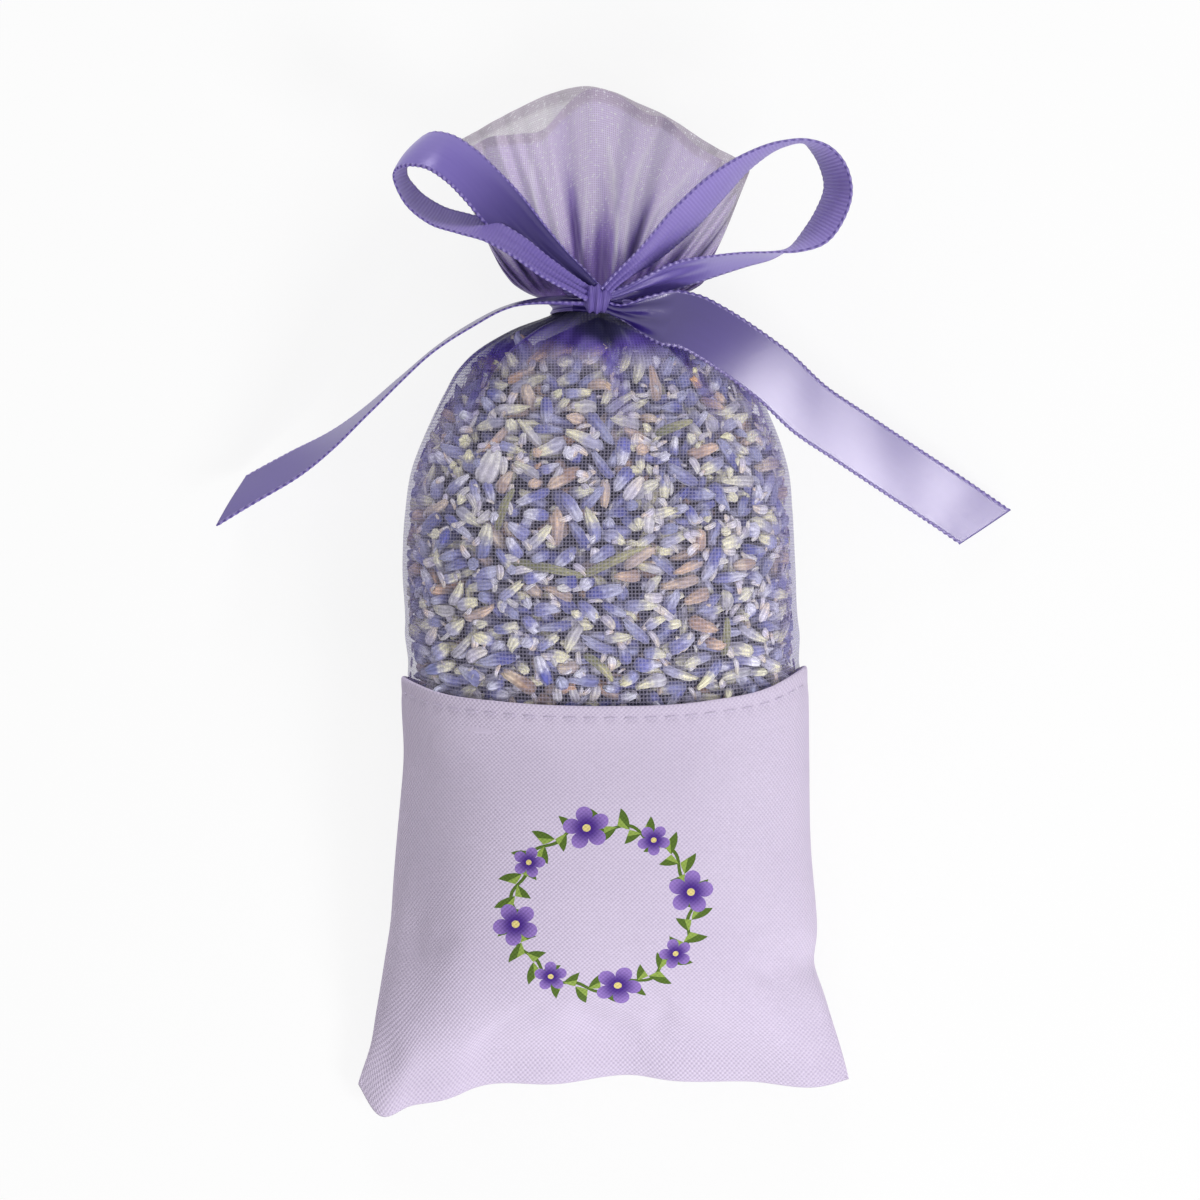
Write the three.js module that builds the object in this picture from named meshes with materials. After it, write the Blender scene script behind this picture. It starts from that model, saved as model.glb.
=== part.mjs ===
// Lavender sachet lying on its back: a woven cotton pouch with a sheer organza top, packed with dried
// lavender, gathered at the neck and tied with a satin ribbon bow under a pleated frill.
// Millimetres. X runs across the bag, Y from the bottom seam to the frill, Z up from the table.
// The origin is the middle of the flat patch that the bag lies on.

import * as THREE from 'three';

// Lengths along the bag, measured along its middle
const hemFromOrigin = 20;
const clothHeight = 65.5;
const cornerRise = 6;
const lowerRise = 13;
const waistRise = 32;
const organzaHeight = 71;
const chestRise = 34;
const upperRise = 47;
const shoulderDrop = 15.7;
const collarLength = 2.5;
const hemOverlap = 5;
const frillLength = 36;

// Widths of the filled bag
const bottomWidth = 85;
const lowerWidth = 79;
const waistWidth = 74.5;
const hemWidth = 70.6;
const chestWidth = 67.4;
const upperWidth = 63.4;
const shoulderWidth = 53.6;
const collarWidth = 25.4;
const neckWidth = 14.4;

// Heights above the table: the side seam, then the crown of the front panel
const bottomSeamHeight = 4.5;
const waistSeamHeight = 10.5;
const hemSeamHeight = 13;
const neckSeamHeight = 15;
const cornerCrown = 10.9;
const lowerCrown = 18;
const waistCrown = 29;
const hemCrown = 34;
const chestCrown = 36.5;
const shoulderCrown = 31;
const collarCrown = 24.5;
const neckDepth = 13;
const cornerLift = 0.4;
const shoulderLift = 2.5;
const collarSag = 8.5;

// Shape of the filled sections
const frontFullness = 2.2;
const backFullness = 2.6;
const backFlattening = 1.08;
const hemLift = 1.4;
const hemLiftReach = 14;
const hemRise = 3;
const tuckLength = 6;
const earDrop = 4.5;
const neckShift = -0.9;

// Cloth, thread and clearances
const clothThickness = 0.6;
const organzaThickness = 0.4;
const bunchHollow = 1.5;
const threadDiameter = 0.6;
const clearance = 0.3;
const bottomSeamRise = 4;
const sideSeamRise = 6;
const hemStitchDrop = 2.2;

// Frill: its width at steps from the tie to the edge, its pleats, and how its two edges slope and curve
const frillCuffWidth = 25.4;
const frillBaseWidth = 33;
const frillMiddleWidth = 39.5;
const frillWidth = 47;
const frillSeamHeight = 9.5;
const frillMouth = 11;
const frillPleats = 7;
const frillPleatDepth = 1.1;
const frillEdges = { front: { slope: 5.8, curve: 5 }, back: { slope: 2.9, curve: 5.8 } };

// Lavender
const budLength = 5.8;
const budDiameter = 2.1;
const budRows = 5;
const budColumns = 5;
const budRowPitch = 9;
const budColumnTurn = 0.21;
const budFromHem = 12;
const budSpread = 1.5;
const budTurnSpread = 0.03;
const stemLength = 9;
const stemDiameter = 1.2;
const stemTip = 0.9;
const stemTurn = 0.2;
const stemCount = 3;
const fillRise = 9;
const fillAboveShoulder = 2;

// Ribbon
const ribbonWidth = 10;
const ribbonThickness = 0.4;
const wrapWidth = 4.6;
const wrapThickness = 0.8;
const wrapRound = 0.7;
const knotWidth = 4.6;
const knotLength = 4.8;
const knotHeight = 5.4;

// Faces of the meshes
const panelColumns = 15;
const clothRows = 13;
const organzaRows = 18;
const frillColumns = 35;
const frillRows = 7;
const fillRows = 11;
const fillHalfSides = 10;

// Places that follow from the sizes above
const hemY = hemFromOrigin;
const bottomY = hemY - clothHeight;
const cornerY = bottomY + cornerRise;
const lowerY = bottomY + lowerRise;
const waistY = bottomY + waistRise;
const chestY = hemY + chestRise;
const upperY = hemY + upperRise;
const tieY = hemY + organzaHeight;
const shoulderY = tieY - shoulderDrop;
const neckY = tieY - wrapWidth / 2;
const collarY = neckY - collarLength;
const neckEndY = tieY + wrapWidth / 2;
const budLayer = budDiameter + 2 * clearance;
const tuck = clothThickness + clearance;
const fillInset = organzaThickness + budLayer;
const seamInset = tuck + organzaThickness + clearance + threadDiameter / 2;

// A smooth curve through [position, value] pairs, held flat beyond its ends
function profile(pairs) {
  const positions = pairs.map((pair) => pair[0]);
  const values = pairs.map((pair) => pair[1]);
  const spline = new THREE.CubicInterpolant(positions, values, 1);
  const last = positions.length - 1;
  return (at) => spline.evaluate(THREE.MathUtils.clamp(at, positions[0], positions[last]))[0];
}

// Sections of the filled bag, from the bottom seam to the neck
const halfWidth = profile([
  [bottomY, bottomWidth / 2],
  [lowerY, lowerWidth / 2],
  [waistY, waistWidth / 2],
  [hemY, hemWidth / 2],
  [chestY, chestWidth / 2],
  [upperY, upperWidth / 2],
  [shoulderY, shoulderWidth / 2],
  [collarY, collarWidth / 2],
  [neckY, neckWidth / 2],
  [neckEndY, neckWidth / 2],
]);
const seamHeight = profile([
  [bottomY, bottomSeamHeight],
  [waistY, waistSeamHeight],
  [hemY, hemSeamHeight],
  [neckY, neckSeamHeight],
  [neckEndY, neckSeamHeight],
]);
const crownHeight = profile([
  [bottomY, bottomSeamHeight + clothThickness],
  [cornerY, cornerCrown],
  [lowerY, lowerCrown],
  [waistY, waistCrown],
  [hemY, hemCrown],
  [chestY, chestCrown],
  [shoulderY, shoulderCrown],
  [collarY, collarCrown],
  [neckY, neckSeamHeight + neckDepth / 2],
  [neckEndY, neckSeamHeight + neckDepth / 2],
]);
const backDepth = profile([
  [bottomY, clothThickness],
  [cornerY, bottomSeamHeight - cornerLift],
  [lowerY, seamHeight(lowerY)],
  [waistY, waistSeamHeight],
  [hemY, hemSeamHeight],
  [upperY, seamHeight(upperY)],
  [shoulderY, seamHeight(shoulderY) - shoulderLift],
  [collarY, collarSag],
  [neckY, neckDepth / 2],
  [neckEndY, neckDepth / 2],
]);

// The back stays just off the table along the hem, where the two cloths overlap
function backFloor(y) {
  const away = Math.abs(y - hemY) / hemLiftReach;
  return hemLift * (1 - THREE.MathUtils.smoothstep(away, 0.5, 1));
}

function middleX(y) {
  return neckShift * THREE.MathUtils.smoothstep(y, hemY, tieY);
}

// A point of the bag: u runs from side seam to side seam, inset is the distance inside the outer face
function bagPoint(side, u, y, inset) {
  const turn = (Math.abs(u) * Math.PI) / 2;
  const filled = side === 'front' ? frontFullness : backFullness;
  const gathered = THREE.MathUtils.smoothstep(y, shoulderY, neckY);
  const fullness = THREE.MathUtils.lerp(filled, 2, gathered);
  const reach = Math.sign(u) * Math.sin(turn) ** (2 / fullness);
  const rise = Math.abs(Math.cos(turn)) ** (2 / fullness);
  const x = middleX(y) + (halfWidth(y) - inset) * reach;
  const seam = seamHeight(y);
  if (side === 'front') {
    const height = Math.max(crownHeight(y) - seam - inset, 0);
    return new THREE.Vector3(x, y, seam + clearance / 2 + height * rise);
  }
  const flattening = THREE.MathUtils.lerp(backFlattening, 1, gathered);
  const depth = Math.max(backDepth(y) * flattening - inset, 0);
  const low = Math.max(seam - clearance / 2 - depth * rise, backFloor(y) + inset);
  return new THREE.Vector3(x, y, Math.min(low, seam - clearance / 2));
}

function solid(points, faces) {
  const geometry = new THREE.BufferGeometry().setFromPoints(points);
  geometry.setIndex(faces.flat());
  geometry.computeVertexNormals();
  return geometry;
}

// A closed sheet between an outer and an inner face, both given over u in -1..1 and v in 0..1
function thickSheet(outer, inner, across, along, flip) {
  const points = [];
  const columns = across + 1;
  const layer = columns * (along + 1);
  for (const face of [outer, inner]) {
    for (let j = 0; j <= along; j++) {
      for (let i = 0; i <= across; i++) points.push(face(-1 + (2 * i) / across, j / along));
    }
  }
  const faces = [];
  const quad = (a, b, c, d) => faces.push(flip ? [a, c, b, a, d, c] : [a, b, c, a, c, d]);
  for (let j = 0; j < along; j++) {
    for (let i = 0; i < across; i++) {
      const a = j * columns + i;
      quad(a, a + 1, a + columns + 1, a + columns);
      quad(layer + a, layer + a + columns, layer + a + columns + 1, layer + a + 1);
    }
  }
  for (let i = 0; i < across; i++) {
    const top = along * columns + i;
    quad(i, layer + i, layer + i + 1, i + 1);
    quad(top, top + 1, layer + top + 1, layer + top);
  }
  for (let j = 0; j < along; j++) {
    const left = j * columns;
    const right = left + across;
    quad(left, left + columns, layer + left + columns, layer + left);
    quad(right, layer + right, layer + right + columns, right + columns);
  }
  return solid(points, faces);
}

// A closed body lofted through rings of points, with a fan at each end
function loft(rings) {
  const sides = rings[0].length;
  const points = rings.flat();
  const faces = [];
  for (let j = 0; j < rings.length - 1; j++) {
    for (let i = 0; i < sides; i++) {
      const a = j * sides + i;
      const b = j * sides + ((i + 1) % sides);
      faces.push([a, b, b + sides, a, b + sides, a + sides]);
    }
  }
  const middle = (ring) => ring.reduce((sum, p) => sum.add(p), new THREE.Vector3()).divideScalar(sides);
  const start = points.push(middle(rings[0])) - 1;
  const end = points.push(middle(rings[rings.length - 1])) - 1;
  const top = (rings.length - 1) * sides;
  for (let i = 0; i < sides; i++) {
    const next = (i + 1) % sides;
    faces.push([start, next, i], [end, top + i, top + next]);
  }
  return solid(points, faces);
}

function thread(points, steps) {
  const section = new THREE.Shape().absarc(0, 0, threadDiameter / 2, 0, Math.PI * 2);
  const extrudePath = new THREE.CatmullRomCurve3(points);
  return new THREE.ExtrudeGeometry(section, { steps, curveSegments: 3, bevelEnabled: false, extrudePath });
}

// A strip of ribbon. Each route point gives the middle of the ribbon, the direction of its width, and
// the share of its width that shows there, which is small where the ribbon is pinched in the knot.
function ribbon(route, steps) {
  const middle = new THREE.CatmullRomCurve3(route.map((stop) => new THREE.Vector3(...stop.at)));
  const edge = new THREE.CatmullRomCurve3(
    route.map((stop) => new THREE.Vector3(...stop.across).setLength((ribbonWidth / 2) * stop.pinch)),
  );
  const rings = [];
  for (let k = 0; k <= steps; k++) {
    const centre = middle.getPoint(k / steps);
    const reach = edge.getPoint(k / steps);
    const along = middle.getTangent(k / steps);
    const lift = reach.clone().cross(along).setLength(ribbonThickness / 2);
    rings.push([
      centre.clone().add(reach).add(lift),
      centre.clone().add(reach).sub(lift),
      centre.clone().sub(reach).sub(lift),
      centre.clone().sub(reach).add(lift),
    ]);
  }
  return loft(rings);
}

const lilacCotton = new THREE.MeshStandardMaterial({ color: 0xd8cce4, roughness: 0.9 });
const sheerOrganza = new THREE.MeshStandardMaterial({ color: 0xb3a3c9, roughness: 0.5 });
const lilacThread = new THREE.MeshStandardMaterial({ color: 0xcbbcdc, roughness: 0.7 });
const violetSatin = new THREE.MeshStandardMaterial({ color: 0x6e5aa8, roughness: 0.35 });
const driedLavender = new THREE.MeshStandardMaterial({ color: 0x6b6a96, roughness: 0.95 });
const blueBud = new THREE.MeshStandardMaterial({ color: 0x5a64a5, roughness: 0.9 });
const paleBud = new THREE.MeshStandardMaterial({ color: 0xd7d2aa, roughness: 0.9 });
const dryStem = new THREE.MeshStandardMaterial({ color: 0x82825f, roughness: 0.95 });

const sachet = new THREE.Group();

function place(parent, name, geometry, material) {
  const mesh = new THREE.Mesh(geometry, material);
  mesh.name = name;
  parent.add(mesh);
  return mesh;
}

// Cotton pouch: the bottom corners stand out as ears, and the hem rises towards the side seams
function clothY(u, v) {
  const ears = earDrop * Math.abs(u) ** 4 * (1 - v) ** 6;
  const smile = hemRise * u * u * v ** 4;
  return bottomY + clothHeight * v - ears + smile;
}

function clothPoint(side, u, v, inset) {
  const level = bottomY + clothHeight * v;
  const point = bagPoint(side, u, level, inset);
  point.y = clothY(u, v);
  return point;
}

function clothPanel(side) {
  const outer = (u, v) => clothPoint(side, u, v, 0);
  const inner = (u, v) => clothPoint(side, u, v, clothThickness);
  return thickSheet(outer, inner, panelColumns, clothRows, side === 'back');
}

place(sachet, 'cloth_front', clothPanel('front'), lilacCotton);
place(sachet, 'cloth_back', clothPanel('back'), lilacCotton);

// Organza top: tucked inside the hem, level with the cotton above it, and bunched solid at the neck
function organzaInset(y) {
  return tuck * (1 - THREE.MathUtils.smoothstep(y, hemY + hemRise, hemY + hemRise + tuckLength));
}

// Rows crowd together towards the neck, and the last one is the straight stretch under the ribbon
function organzaLevel(v) {
  const share = Math.min((v * organzaRows) / (organzaRows - 1), 1);
  return v === 1 ? neckEndY : THREE.MathUtils.lerp(neckY, hemY - hemOverlap, (1 - share) ** 1.3);
}

function organzaPoint(side, u, v, depth) {
  const level = organzaLevel(v);
  const point = bagPoint(side, u, level, organzaInset(level) + depth);
  point.y = level + hemRise * u * u * (1 - THREE.MathUtils.smoothstep(v, 0.05, 0.5));
  return point;
}

function organzaPanel(side) {
  const outer = (u, v) => organzaPoint(side, u, v, 0);
  const bunch = (v) => organzaThickness + (neckDepth / 2 - bunchHollow) * THREE.MathUtils.smoothstep(v, 0.8, 1);
  const inner = (u, v) => organzaPoint(side, u, v, bunch(v));
  return thickSheet(outer, inner, panelColumns, organzaRows, side === 'back');
}

place(sachet, 'organza_front', organzaPanel('front'), sheerOrganza);
place(sachet, 'organza_back', organzaPanel('back'), sheerOrganza);

// Sewing thread inside the side and bottom seams, and the topstitch outside the hem
function sideSeam(u) {
  const points = [];
  const stops = 12;
  for (let k = 0; k <= stops; k++) {
    const y = THREE.MathUtils.lerp(bottomY + sideSeamRise, shoulderY, k / stops);
    points.push(bagPoint('front', u, y, seamInset).setZ(seamHeight(y)));
  }
  return thread(points, 2 * stops);
}

function bottomSeam() {
  const points = [];
  const stops = 8;
  const v = bottomSeamRise / clothHeight;
  for (let k = 0; k <= stops; k++) {
    const u = THREE.MathUtils.lerp(-0.8, 0.8, k / stops);
    points.push(clothPoint('front', u, v, seamInset).setZ(seamHeight(bottomY + bottomSeamRise)));
  }
  return thread(points, 2 * stops);
}

function hemStitch(side) {
  const points = [];
  const v = 1 - hemStitchDrop / clothHeight;
  for (let column = 1; column < panelColumns; column++) {
    const u = -1 + (2 * column) / panelColumns;
    points.push(clothPoint(side, u, v, -clearance - threadDiameter / 2));
  }
  return thread(points, 2 * points.length - 2);
}

place(sachet, 'side_seam_left', sideSeam(-1), lilacThread);
place(sachet, 'side_seam_right', sideSeam(1), lilacThread);
place(sachet, 'bottom_seam', bottomSeam(), lilacThread);
place(sachet, 'hem_stitch_front', hemStitch('front'), lilacThread);
place(sachet, 'hem_stitch_back', hemStitch('back'), lilacThread);

// Lavender: one packed core, with single buds and stems lying between it and the organza
function fillRing(y) {
  const ring = [];
  for (let i = 0; i < fillHalfSides; i++) {
    ring.push(bagPoint('front', -1 + (2 * i) / fillHalfSides, y, fillInset));
  }
  for (let i = 0; i < fillHalfSides; i++) {
    ring.push(bagPoint('back', 1 - (2 * i) / fillHalfSides, y, fillInset));
  }
  return ring;
}

const fillRings = [];
for (let row = 0; row <= fillRows; row++) {
  const share = row / fillRows;
  fillRings.push(fillRing(THREE.MathUtils.lerp(bottomY + fillRise, shoulderY + fillAboveShoulder, share)));
}
place(sachet, 'lavender_fill', loft(fillRings), driedLavender);

// A repeatable spread between -0.5 and 0.5
function scatter(seed) {
  const wave = Math.sin(seed * 12.9898) * 43758.5453;
  return wave - Math.floor(wave) - 0.5;
}

// Lays a slim body in the bud layer on the front of the fill, turned about the surface normal
function layOnFill(mesh, u, y, turn) {
  const depth = organzaThickness + clearance + budDiameter / 2;
  const centre = bagPoint('front', u, y, depth);
  const across = bagPoint('front', u + 0.02, y, depth).sub(centre).normalize();
  const along = bagPoint('front', u, y + 0.5, depth).sub(centre).normalize();
  const normal = across.clone().cross(along).normalize();
  along.copy(normal).cross(across);
  mesh.position.copy(centre);
  mesh.quaternion.setFromRotationMatrix(new THREE.Matrix4().makeBasis(across, along, normal));
  mesh.rotateZ(turn);
}

function budProfile(length, diameter) {
  const shape = [[0, -0.5], [0.32, -0.34], [0.5, -0.02], [0.38, 0.3], [0, 0.5]];
  return shape.map(([r, h]) => new THREE.Vector2(r * diameter, h * length));
}

const budGeometry = new THREE.LatheGeometry(budProfile(budLength, budDiameter), 6);
for (let row = 0; row < budRows; row++) {
  for (let column = 0; column < budColumns; column++) {
    const count = row * budColumns + column + 1;
    const y = hemY + budFromHem + row * budRowPitch + budSpread * scatter(count);
    const middleColumn = (budColumns - 1) / 2;
    const u = (column - middleColumn) * budColumnTurn + budTurnSpread * scatter(count + 40);
    const material = count % 3 === 0 ? paleBud : blueBud;
    const bud = place(sachet, `lavender_bud_${String(count).padStart(2, '0')}`, budGeometry, material);
    layOnFill(bud, u, y, Math.PI * scatter(count + 80));
  }
}

// Stems lie between the columns of buds
const stemGeometry = new THREE.CylinderGeometry(stemDiameter / 2, stemTip / 2, stemLength, 6);
for (let count = 1; count <= stemCount; count++) {
  const y = hemY + budFromHem + (count + 0.5) * budRowPitch;
  const stem = place(sachet, `stem_bit_${count}`, stemGeometry, dryStem);
  layOnFill(stem, (count - stemCount / 2 - 1) * budColumnTurn, y, stemTurn);
}

// Frill: two pleated leaves that flare from the tie
const frillStart = neckEndY + 2 * clearance;
const frillHalf = profile([
  [0, neckWidth / 2],
  [0.08, frillCuffWidth / 2],
  [0.2, frillBaseWidth / 2],
  [0.45, frillMiddleWidth / 2],
  [1, frillWidth / 2],
]);
const frillArch = profile([
  [0, neckDepth / 2 - clearance],
  [0.15, neckDepth / 2 - 0.6],
  [1, frillMouth / 2],
]);

function frillPoint(side, u, v, depth) {
  const turn = (Math.abs(u) * Math.PI) / 2;
  const droop = THREE.MathUtils.lerp(neckSeamHeight, frillSeamHeight, THREE.MathUtils.smoothstep(v, 0, 1));
  const pleat = frillPleatDepth * v ** 0.6 * Math.cos(u * frillPleats * Math.PI) * Math.cos(turn);
  const arch = Math.max(frillArch(v) * Math.cos(turn) ** 0.8 + pleat, 0) + organzaThickness - depth;
  const up = side === 'front' ? 1 : -1;
  const edge = frillEdges[side];
  const length = frillLength - edge.slope * u - edge.curve * u * u;
  const x = middleX(tieY) + (frillHalf(v) - depth) * Math.sign(u) * Math.sin(turn) ** 0.9;
  return new THREE.Vector3(x, frillStart + length * v, droop + up * (clearance / 2 + arch));
}

function frillLeaf(side) {
  const outer = (u, v) => frillPoint(side, u, v, 0);
  const inner = (u, v) => frillPoint(side, u, v, organzaThickness);
  return thickSheet(outer, inner, frillColumns, frillRows, side === 'back');
}

place(sachet, 'frill_front', frillLeaf('front'), sheerOrganza);
place(sachet, 'frill_back', frillLeaf('back'), sheerOrganza);

// Ribbon round the neck
const wrapInner = neckWidth / 2 + clearance;
const wrapOuter = wrapInner + wrapThickness;
const wrapSection = [
  [wrapInner, -wrapWidth / 2],
  [wrapOuter, (-wrapRound * wrapWidth) / 2],
  [wrapOuter, (wrapRound * wrapWidth) / 2],
  [wrapInner, wrapWidth / 2],
  [wrapInner, -wrapWidth / 2],
].map(([r, h]) => new THREE.Vector2(r, h));
const wrapFlattening = (neckDepth / 2 + 1.5 * clearance) / wrapInner;
const wrapGeometry = new THREE.LatheGeometry(wrapSection, 32).scale(1, 1, wrapFlattening);
const wrap = place(sachet, 'neck_wrap', wrapGeometry, violetSatin);
wrap.position.set(middleX(tieY), tieY, neckSeamHeight);

// Bow: every route starts and ends beside the knot, and is measured from the knot's middle
const wrapTop = neckSeamHeight + wrapOuter * wrapFlattening;
const bow = new THREE.Group();
bow.position.set(middleX(tieY), tieY, wrapTop + clearance + knotHeight / 2);
sachet.add(bow);

const knotGeometry = new THREE.SphereGeometry(0.5, 12, 8);
knotGeometry.scale(knotWidth, knotLength, knotHeight);
place(bow, 'bow_knot', knotGeometry, violetSatin);

const leftLoopRoute = [
  { at: [-2.9, 3.0, 1.2], across: [-0.45, -0.5, 0.74], pinch: 0.3 },
  { at: [-9.6, 10.2, 2.4], across: [-0.45, -0.4, 0.8], pinch: 0.75 },
  { at: [-15.0, 15.0, 2.8], across: [-0.5, -0.48, 0.72], pinch: 1 },
  { at: [-20.6, 21.3, 2.4], across: [-0.57, -0.47, 0.67], pinch: 1 },
  { at: [-24.2, 24.7, 1.8], across: [-0.5, -0.57, 0.65], pinch: 1 },
  { at: [-27.8, 26.3, 0.8], across: [-0.45, -0.59, 0.67], pinch: 1 },
  { at: [-31.0, 26.5, -0.8], across: [-0.4, -0.6, 0.69], pinch: 1 },
  { at: [-33.4, 25.2, -2.6], across: [-0.35, -0.58, 0.73], pinch: 1 },
  { at: [-34.2, 22.8, -4.4], across: [-0.38, -0.52, 0.76], pinch: 1 },
  { at: [-32.4, 20.2, -5.4], across: [-0.42, -0.5, 0.76], pinch: 1 },
  { at: [-28.2, 16.8, -5.2], across: [-0.44, -0.5, 0.74], pinch: 1 },
  { at: [-20.8, 12.8, -4.0], across: [-0.42, -0.52, 0.74], pinch: 1 },
  { at: [-14.6, 9.9, -2.6], across: [-0.42, -0.5, 0.76], pinch: 0.8 },
  { at: [-9.0, 6.4, -1.4], across: [-0.45, -0.5, 0.74], pinch: 0.5 },
  { at: [-3.4, 2.0, -1.0], across: [-0.45, -0.5, 0.74], pinch: 0.3 },
];
const rightLoopRoute = [
  { at: [2.8, 2.8, 1.4], across: [-0.4, 0.4, 0.8], pinch: 0.3 },
  { at: [8.5, 7.0, 2.0], across: [-0.45, 0.4, 0.8], pinch: 0.7 },
  { at: [15.0, 13.4, 2.2], across: [-0.45, 0.4, 0.8], pinch: 1 },
  { at: [20.6, 19.1, 2.0], across: [-0.31, 0.42, 0.85], pinch: 1 },
  { at: [26.4, 23.8, 1.4], across: [-0.23, 0.21, 0.95], pinch: 1 },
  { at: [32.0, 26.8, 0.4], across: [-0.08, 0.07, 0.99], pinch: 1 },
  { at: [36.3, 27.8, -0.6], across: [-0.04, 0.02, 1], pinch: 1 },
  { at: [39.8, 25.8, -1.6], across: [-0.28, 0.07, 0.96], pinch: 1 },
  { at: [41.5, 22.5, -2.2], across: [-0.4, 0.07, 0.91], pinch: 1 },
  { at: [41.6, 18.9, -2.4], across: [-0.49, 0, 0.87], pinch: 1 },
  { at: [39.9, 14.4, -2.2], across: [-0.52, 0.09, 0.85], pinch: 1 },
  { at: [36.8, 10.6, -1.6], across: [-0.5, 0.09, 0.86], pinch: 1 },
  { at: [32.0, 7.9, -1.0], across: [-0.34, 0.14, 0.93], pinch: 1 },
  { at: [25.4, 6.6, -0.4], across: [-0.04, 0.28, 0.96], pinch: 1 },
  { at: [19.0, 5.3, 0], across: [0, 0.45, 0.89], pinch: 1 },
  { at: [13.5, 4.1, 0], across: [0.02, 0.45, 0.89], pinch: 0.9 },
  { at: [8.2, 2.4, -0.2], across: [0, 0.45, 0.89], pinch: 0.6 },
  { at: [3.0, 0.8, -0.4], across: [0, 0.5, 0.86], pinch: 0.26 },
];
const leftTailRoute = [
  { at: [-3.1, -0.2, -0.7], across: [-0.1, 0.12, 0.98], pinch: 0.3 },
  { at: [-7.0, -0.2, -1.0], across: [-0.1, 0.14, 0.98], pinch: 0.6 },
  { at: [-11.6, -0.6, -1.8], across: [-0.1, 0.14, 0.98], pinch: 0.9 },
  { at: [-19.1, -2.8, -3.2], across: [-0.12, 0.15, 0.98], pinch: 1 },
  { at: [-25.9, -6.5, -5.2], across: [-0.13, 0.16, 0.98], pinch: 1 },
  { at: [-36.5, -14.0, -9.6], across: [-0.16, 0.18, 0.97], pinch: 1 },
  { at: [-45.8, -22.7, -15.0], across: [-0.25, 0.28, 0.93], pinch: 1 },
  { at: [-55.4, -29.6, -19.2], across: [-0.38, 0.42, 0.82], pinch: 1 },
  { at: [-63.8, -36.6, -20.6], across: [-0.4, 0.44, 0.8], pinch: 1 },
];
const rightTailRoute = [
  { at: [2.8, -1.9, -1.0], across: [0.1, 0.8, 0.6], pinch: 0.26 },
  { at: [8.6, -2.8, -0.6], across: [0.2, 0.9, 0.4], pinch: 0.55 },
  { at: [16.0, -3.9, -0.6], across: [0.35, 0.93, 0.1], pinch: 0.86 },
  { at: [19.7, -5.8, -1.0], across: [0.45, 0.89, 0], pinch: 0.95 },
  { at: [25.1, -9.3, -2.0], across: [0.55, 0.83, 0], pinch: 1 },
  { at: [30.5, -13.3, -3.6], across: [0.57, 0.82, 0], pinch: 1 },
  { at: [36.7, -19.0, -6.6], across: [0.57, 0.82, 0], pinch: 1 },
  { at: [43.7, -23.7, -10.8], across: [0.57, 0.82, 0], pinch: 1 },
  { at: [54.3, -30.7, -18.1], across: [0.57, 0.82, 0], pinch: 1 },
  { at: [60.9, -35.0, -22.3], across: [0.6, 0.8, 0], pinch: 1 },
  { at: [67.0, -39.2, -24.8], across: [0.6, 0.8, 0], pinch: 1 },
];
place(bow, 'left_loop', ribbon(leftLoopRoute, 42), violetSatin);
place(bow, 'right_loop', ribbon(rightLoopRoute, 51), violetSatin);
place(bow, 'left_tail', ribbon(leftTailRoute, 24), violetSatin);
place(bow, 'right_tail', ribbon(rightTailRoute, 30), violetSatin);

export default sachet;
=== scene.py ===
"""Dresses the lavender sachet: a cotton pouch, a sheer organza top, dried lavender and a satin ribbon bow.

Everything is in metres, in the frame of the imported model: X across the bag, Y from the bottom seam to the
frill, Z up from the table that the bag lies on.
"""

import logging
import math
from collections.abc import Callable
from dataclasses import dataclass, replace
from enum import Enum

import bmesh
import bpy
import numpy as np
from bmesh.types import BMEdge, BMesh, BMVert
from bpy.types import Material, Mesh, Node, NodeSocket, Object, World
from mathutils import Matrix, Vector
from mathutils.bvhtree import BVHTree


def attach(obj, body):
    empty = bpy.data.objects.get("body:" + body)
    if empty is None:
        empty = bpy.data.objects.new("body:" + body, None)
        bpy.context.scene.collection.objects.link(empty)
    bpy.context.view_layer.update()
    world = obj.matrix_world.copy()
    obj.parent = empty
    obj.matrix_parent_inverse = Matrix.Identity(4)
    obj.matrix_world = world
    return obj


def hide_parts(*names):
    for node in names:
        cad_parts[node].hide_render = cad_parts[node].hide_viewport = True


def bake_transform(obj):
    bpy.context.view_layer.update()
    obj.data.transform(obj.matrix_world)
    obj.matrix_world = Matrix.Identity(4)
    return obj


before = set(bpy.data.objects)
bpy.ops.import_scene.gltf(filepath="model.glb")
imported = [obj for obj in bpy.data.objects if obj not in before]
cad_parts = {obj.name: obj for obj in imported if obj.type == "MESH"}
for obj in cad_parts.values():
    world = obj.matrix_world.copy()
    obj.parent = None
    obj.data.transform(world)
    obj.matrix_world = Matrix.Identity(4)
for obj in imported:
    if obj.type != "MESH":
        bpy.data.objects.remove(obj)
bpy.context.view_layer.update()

log = logging.getLogger("lavender_sachet")

MM = 0.001
CLOTH_MAP = "Cloth"
GRID_MARK = "grid_place"
Array = np.ndarray
Pair = tuple[float, float]
Triple = tuple[float, float, float]
Colour = tuple[float, float, float, float]
Signal = NodeSocket | float | tuple[float, ...]
Surface = Callable[[Array, Array], Array]


class Body(Enum):
    """Moving bodies of the sachet."""

    BAG = "bag"
    FRILL = "frill"
    LEFT_LOOP = "left_loop"
    RIGHT_LOOP = "right_loop"
    LEFT_TAIL = "left_tail"
    RIGHT_TAIL = "right_tail"


class Slot(Enum):
    """Material slots of the record."""

    COTTON = "lilac_cotton"
    THREAD = "lilac_thread"
    ORGANZA = "sheer_organza"
    SATIN = "violet_satin"
    LAVENDER = "dried_lavender"
    BLUE_BUD = "blue_bud"
    PALE_BUD = "pale_bud"
    STEM = "dry_stem"


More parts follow.
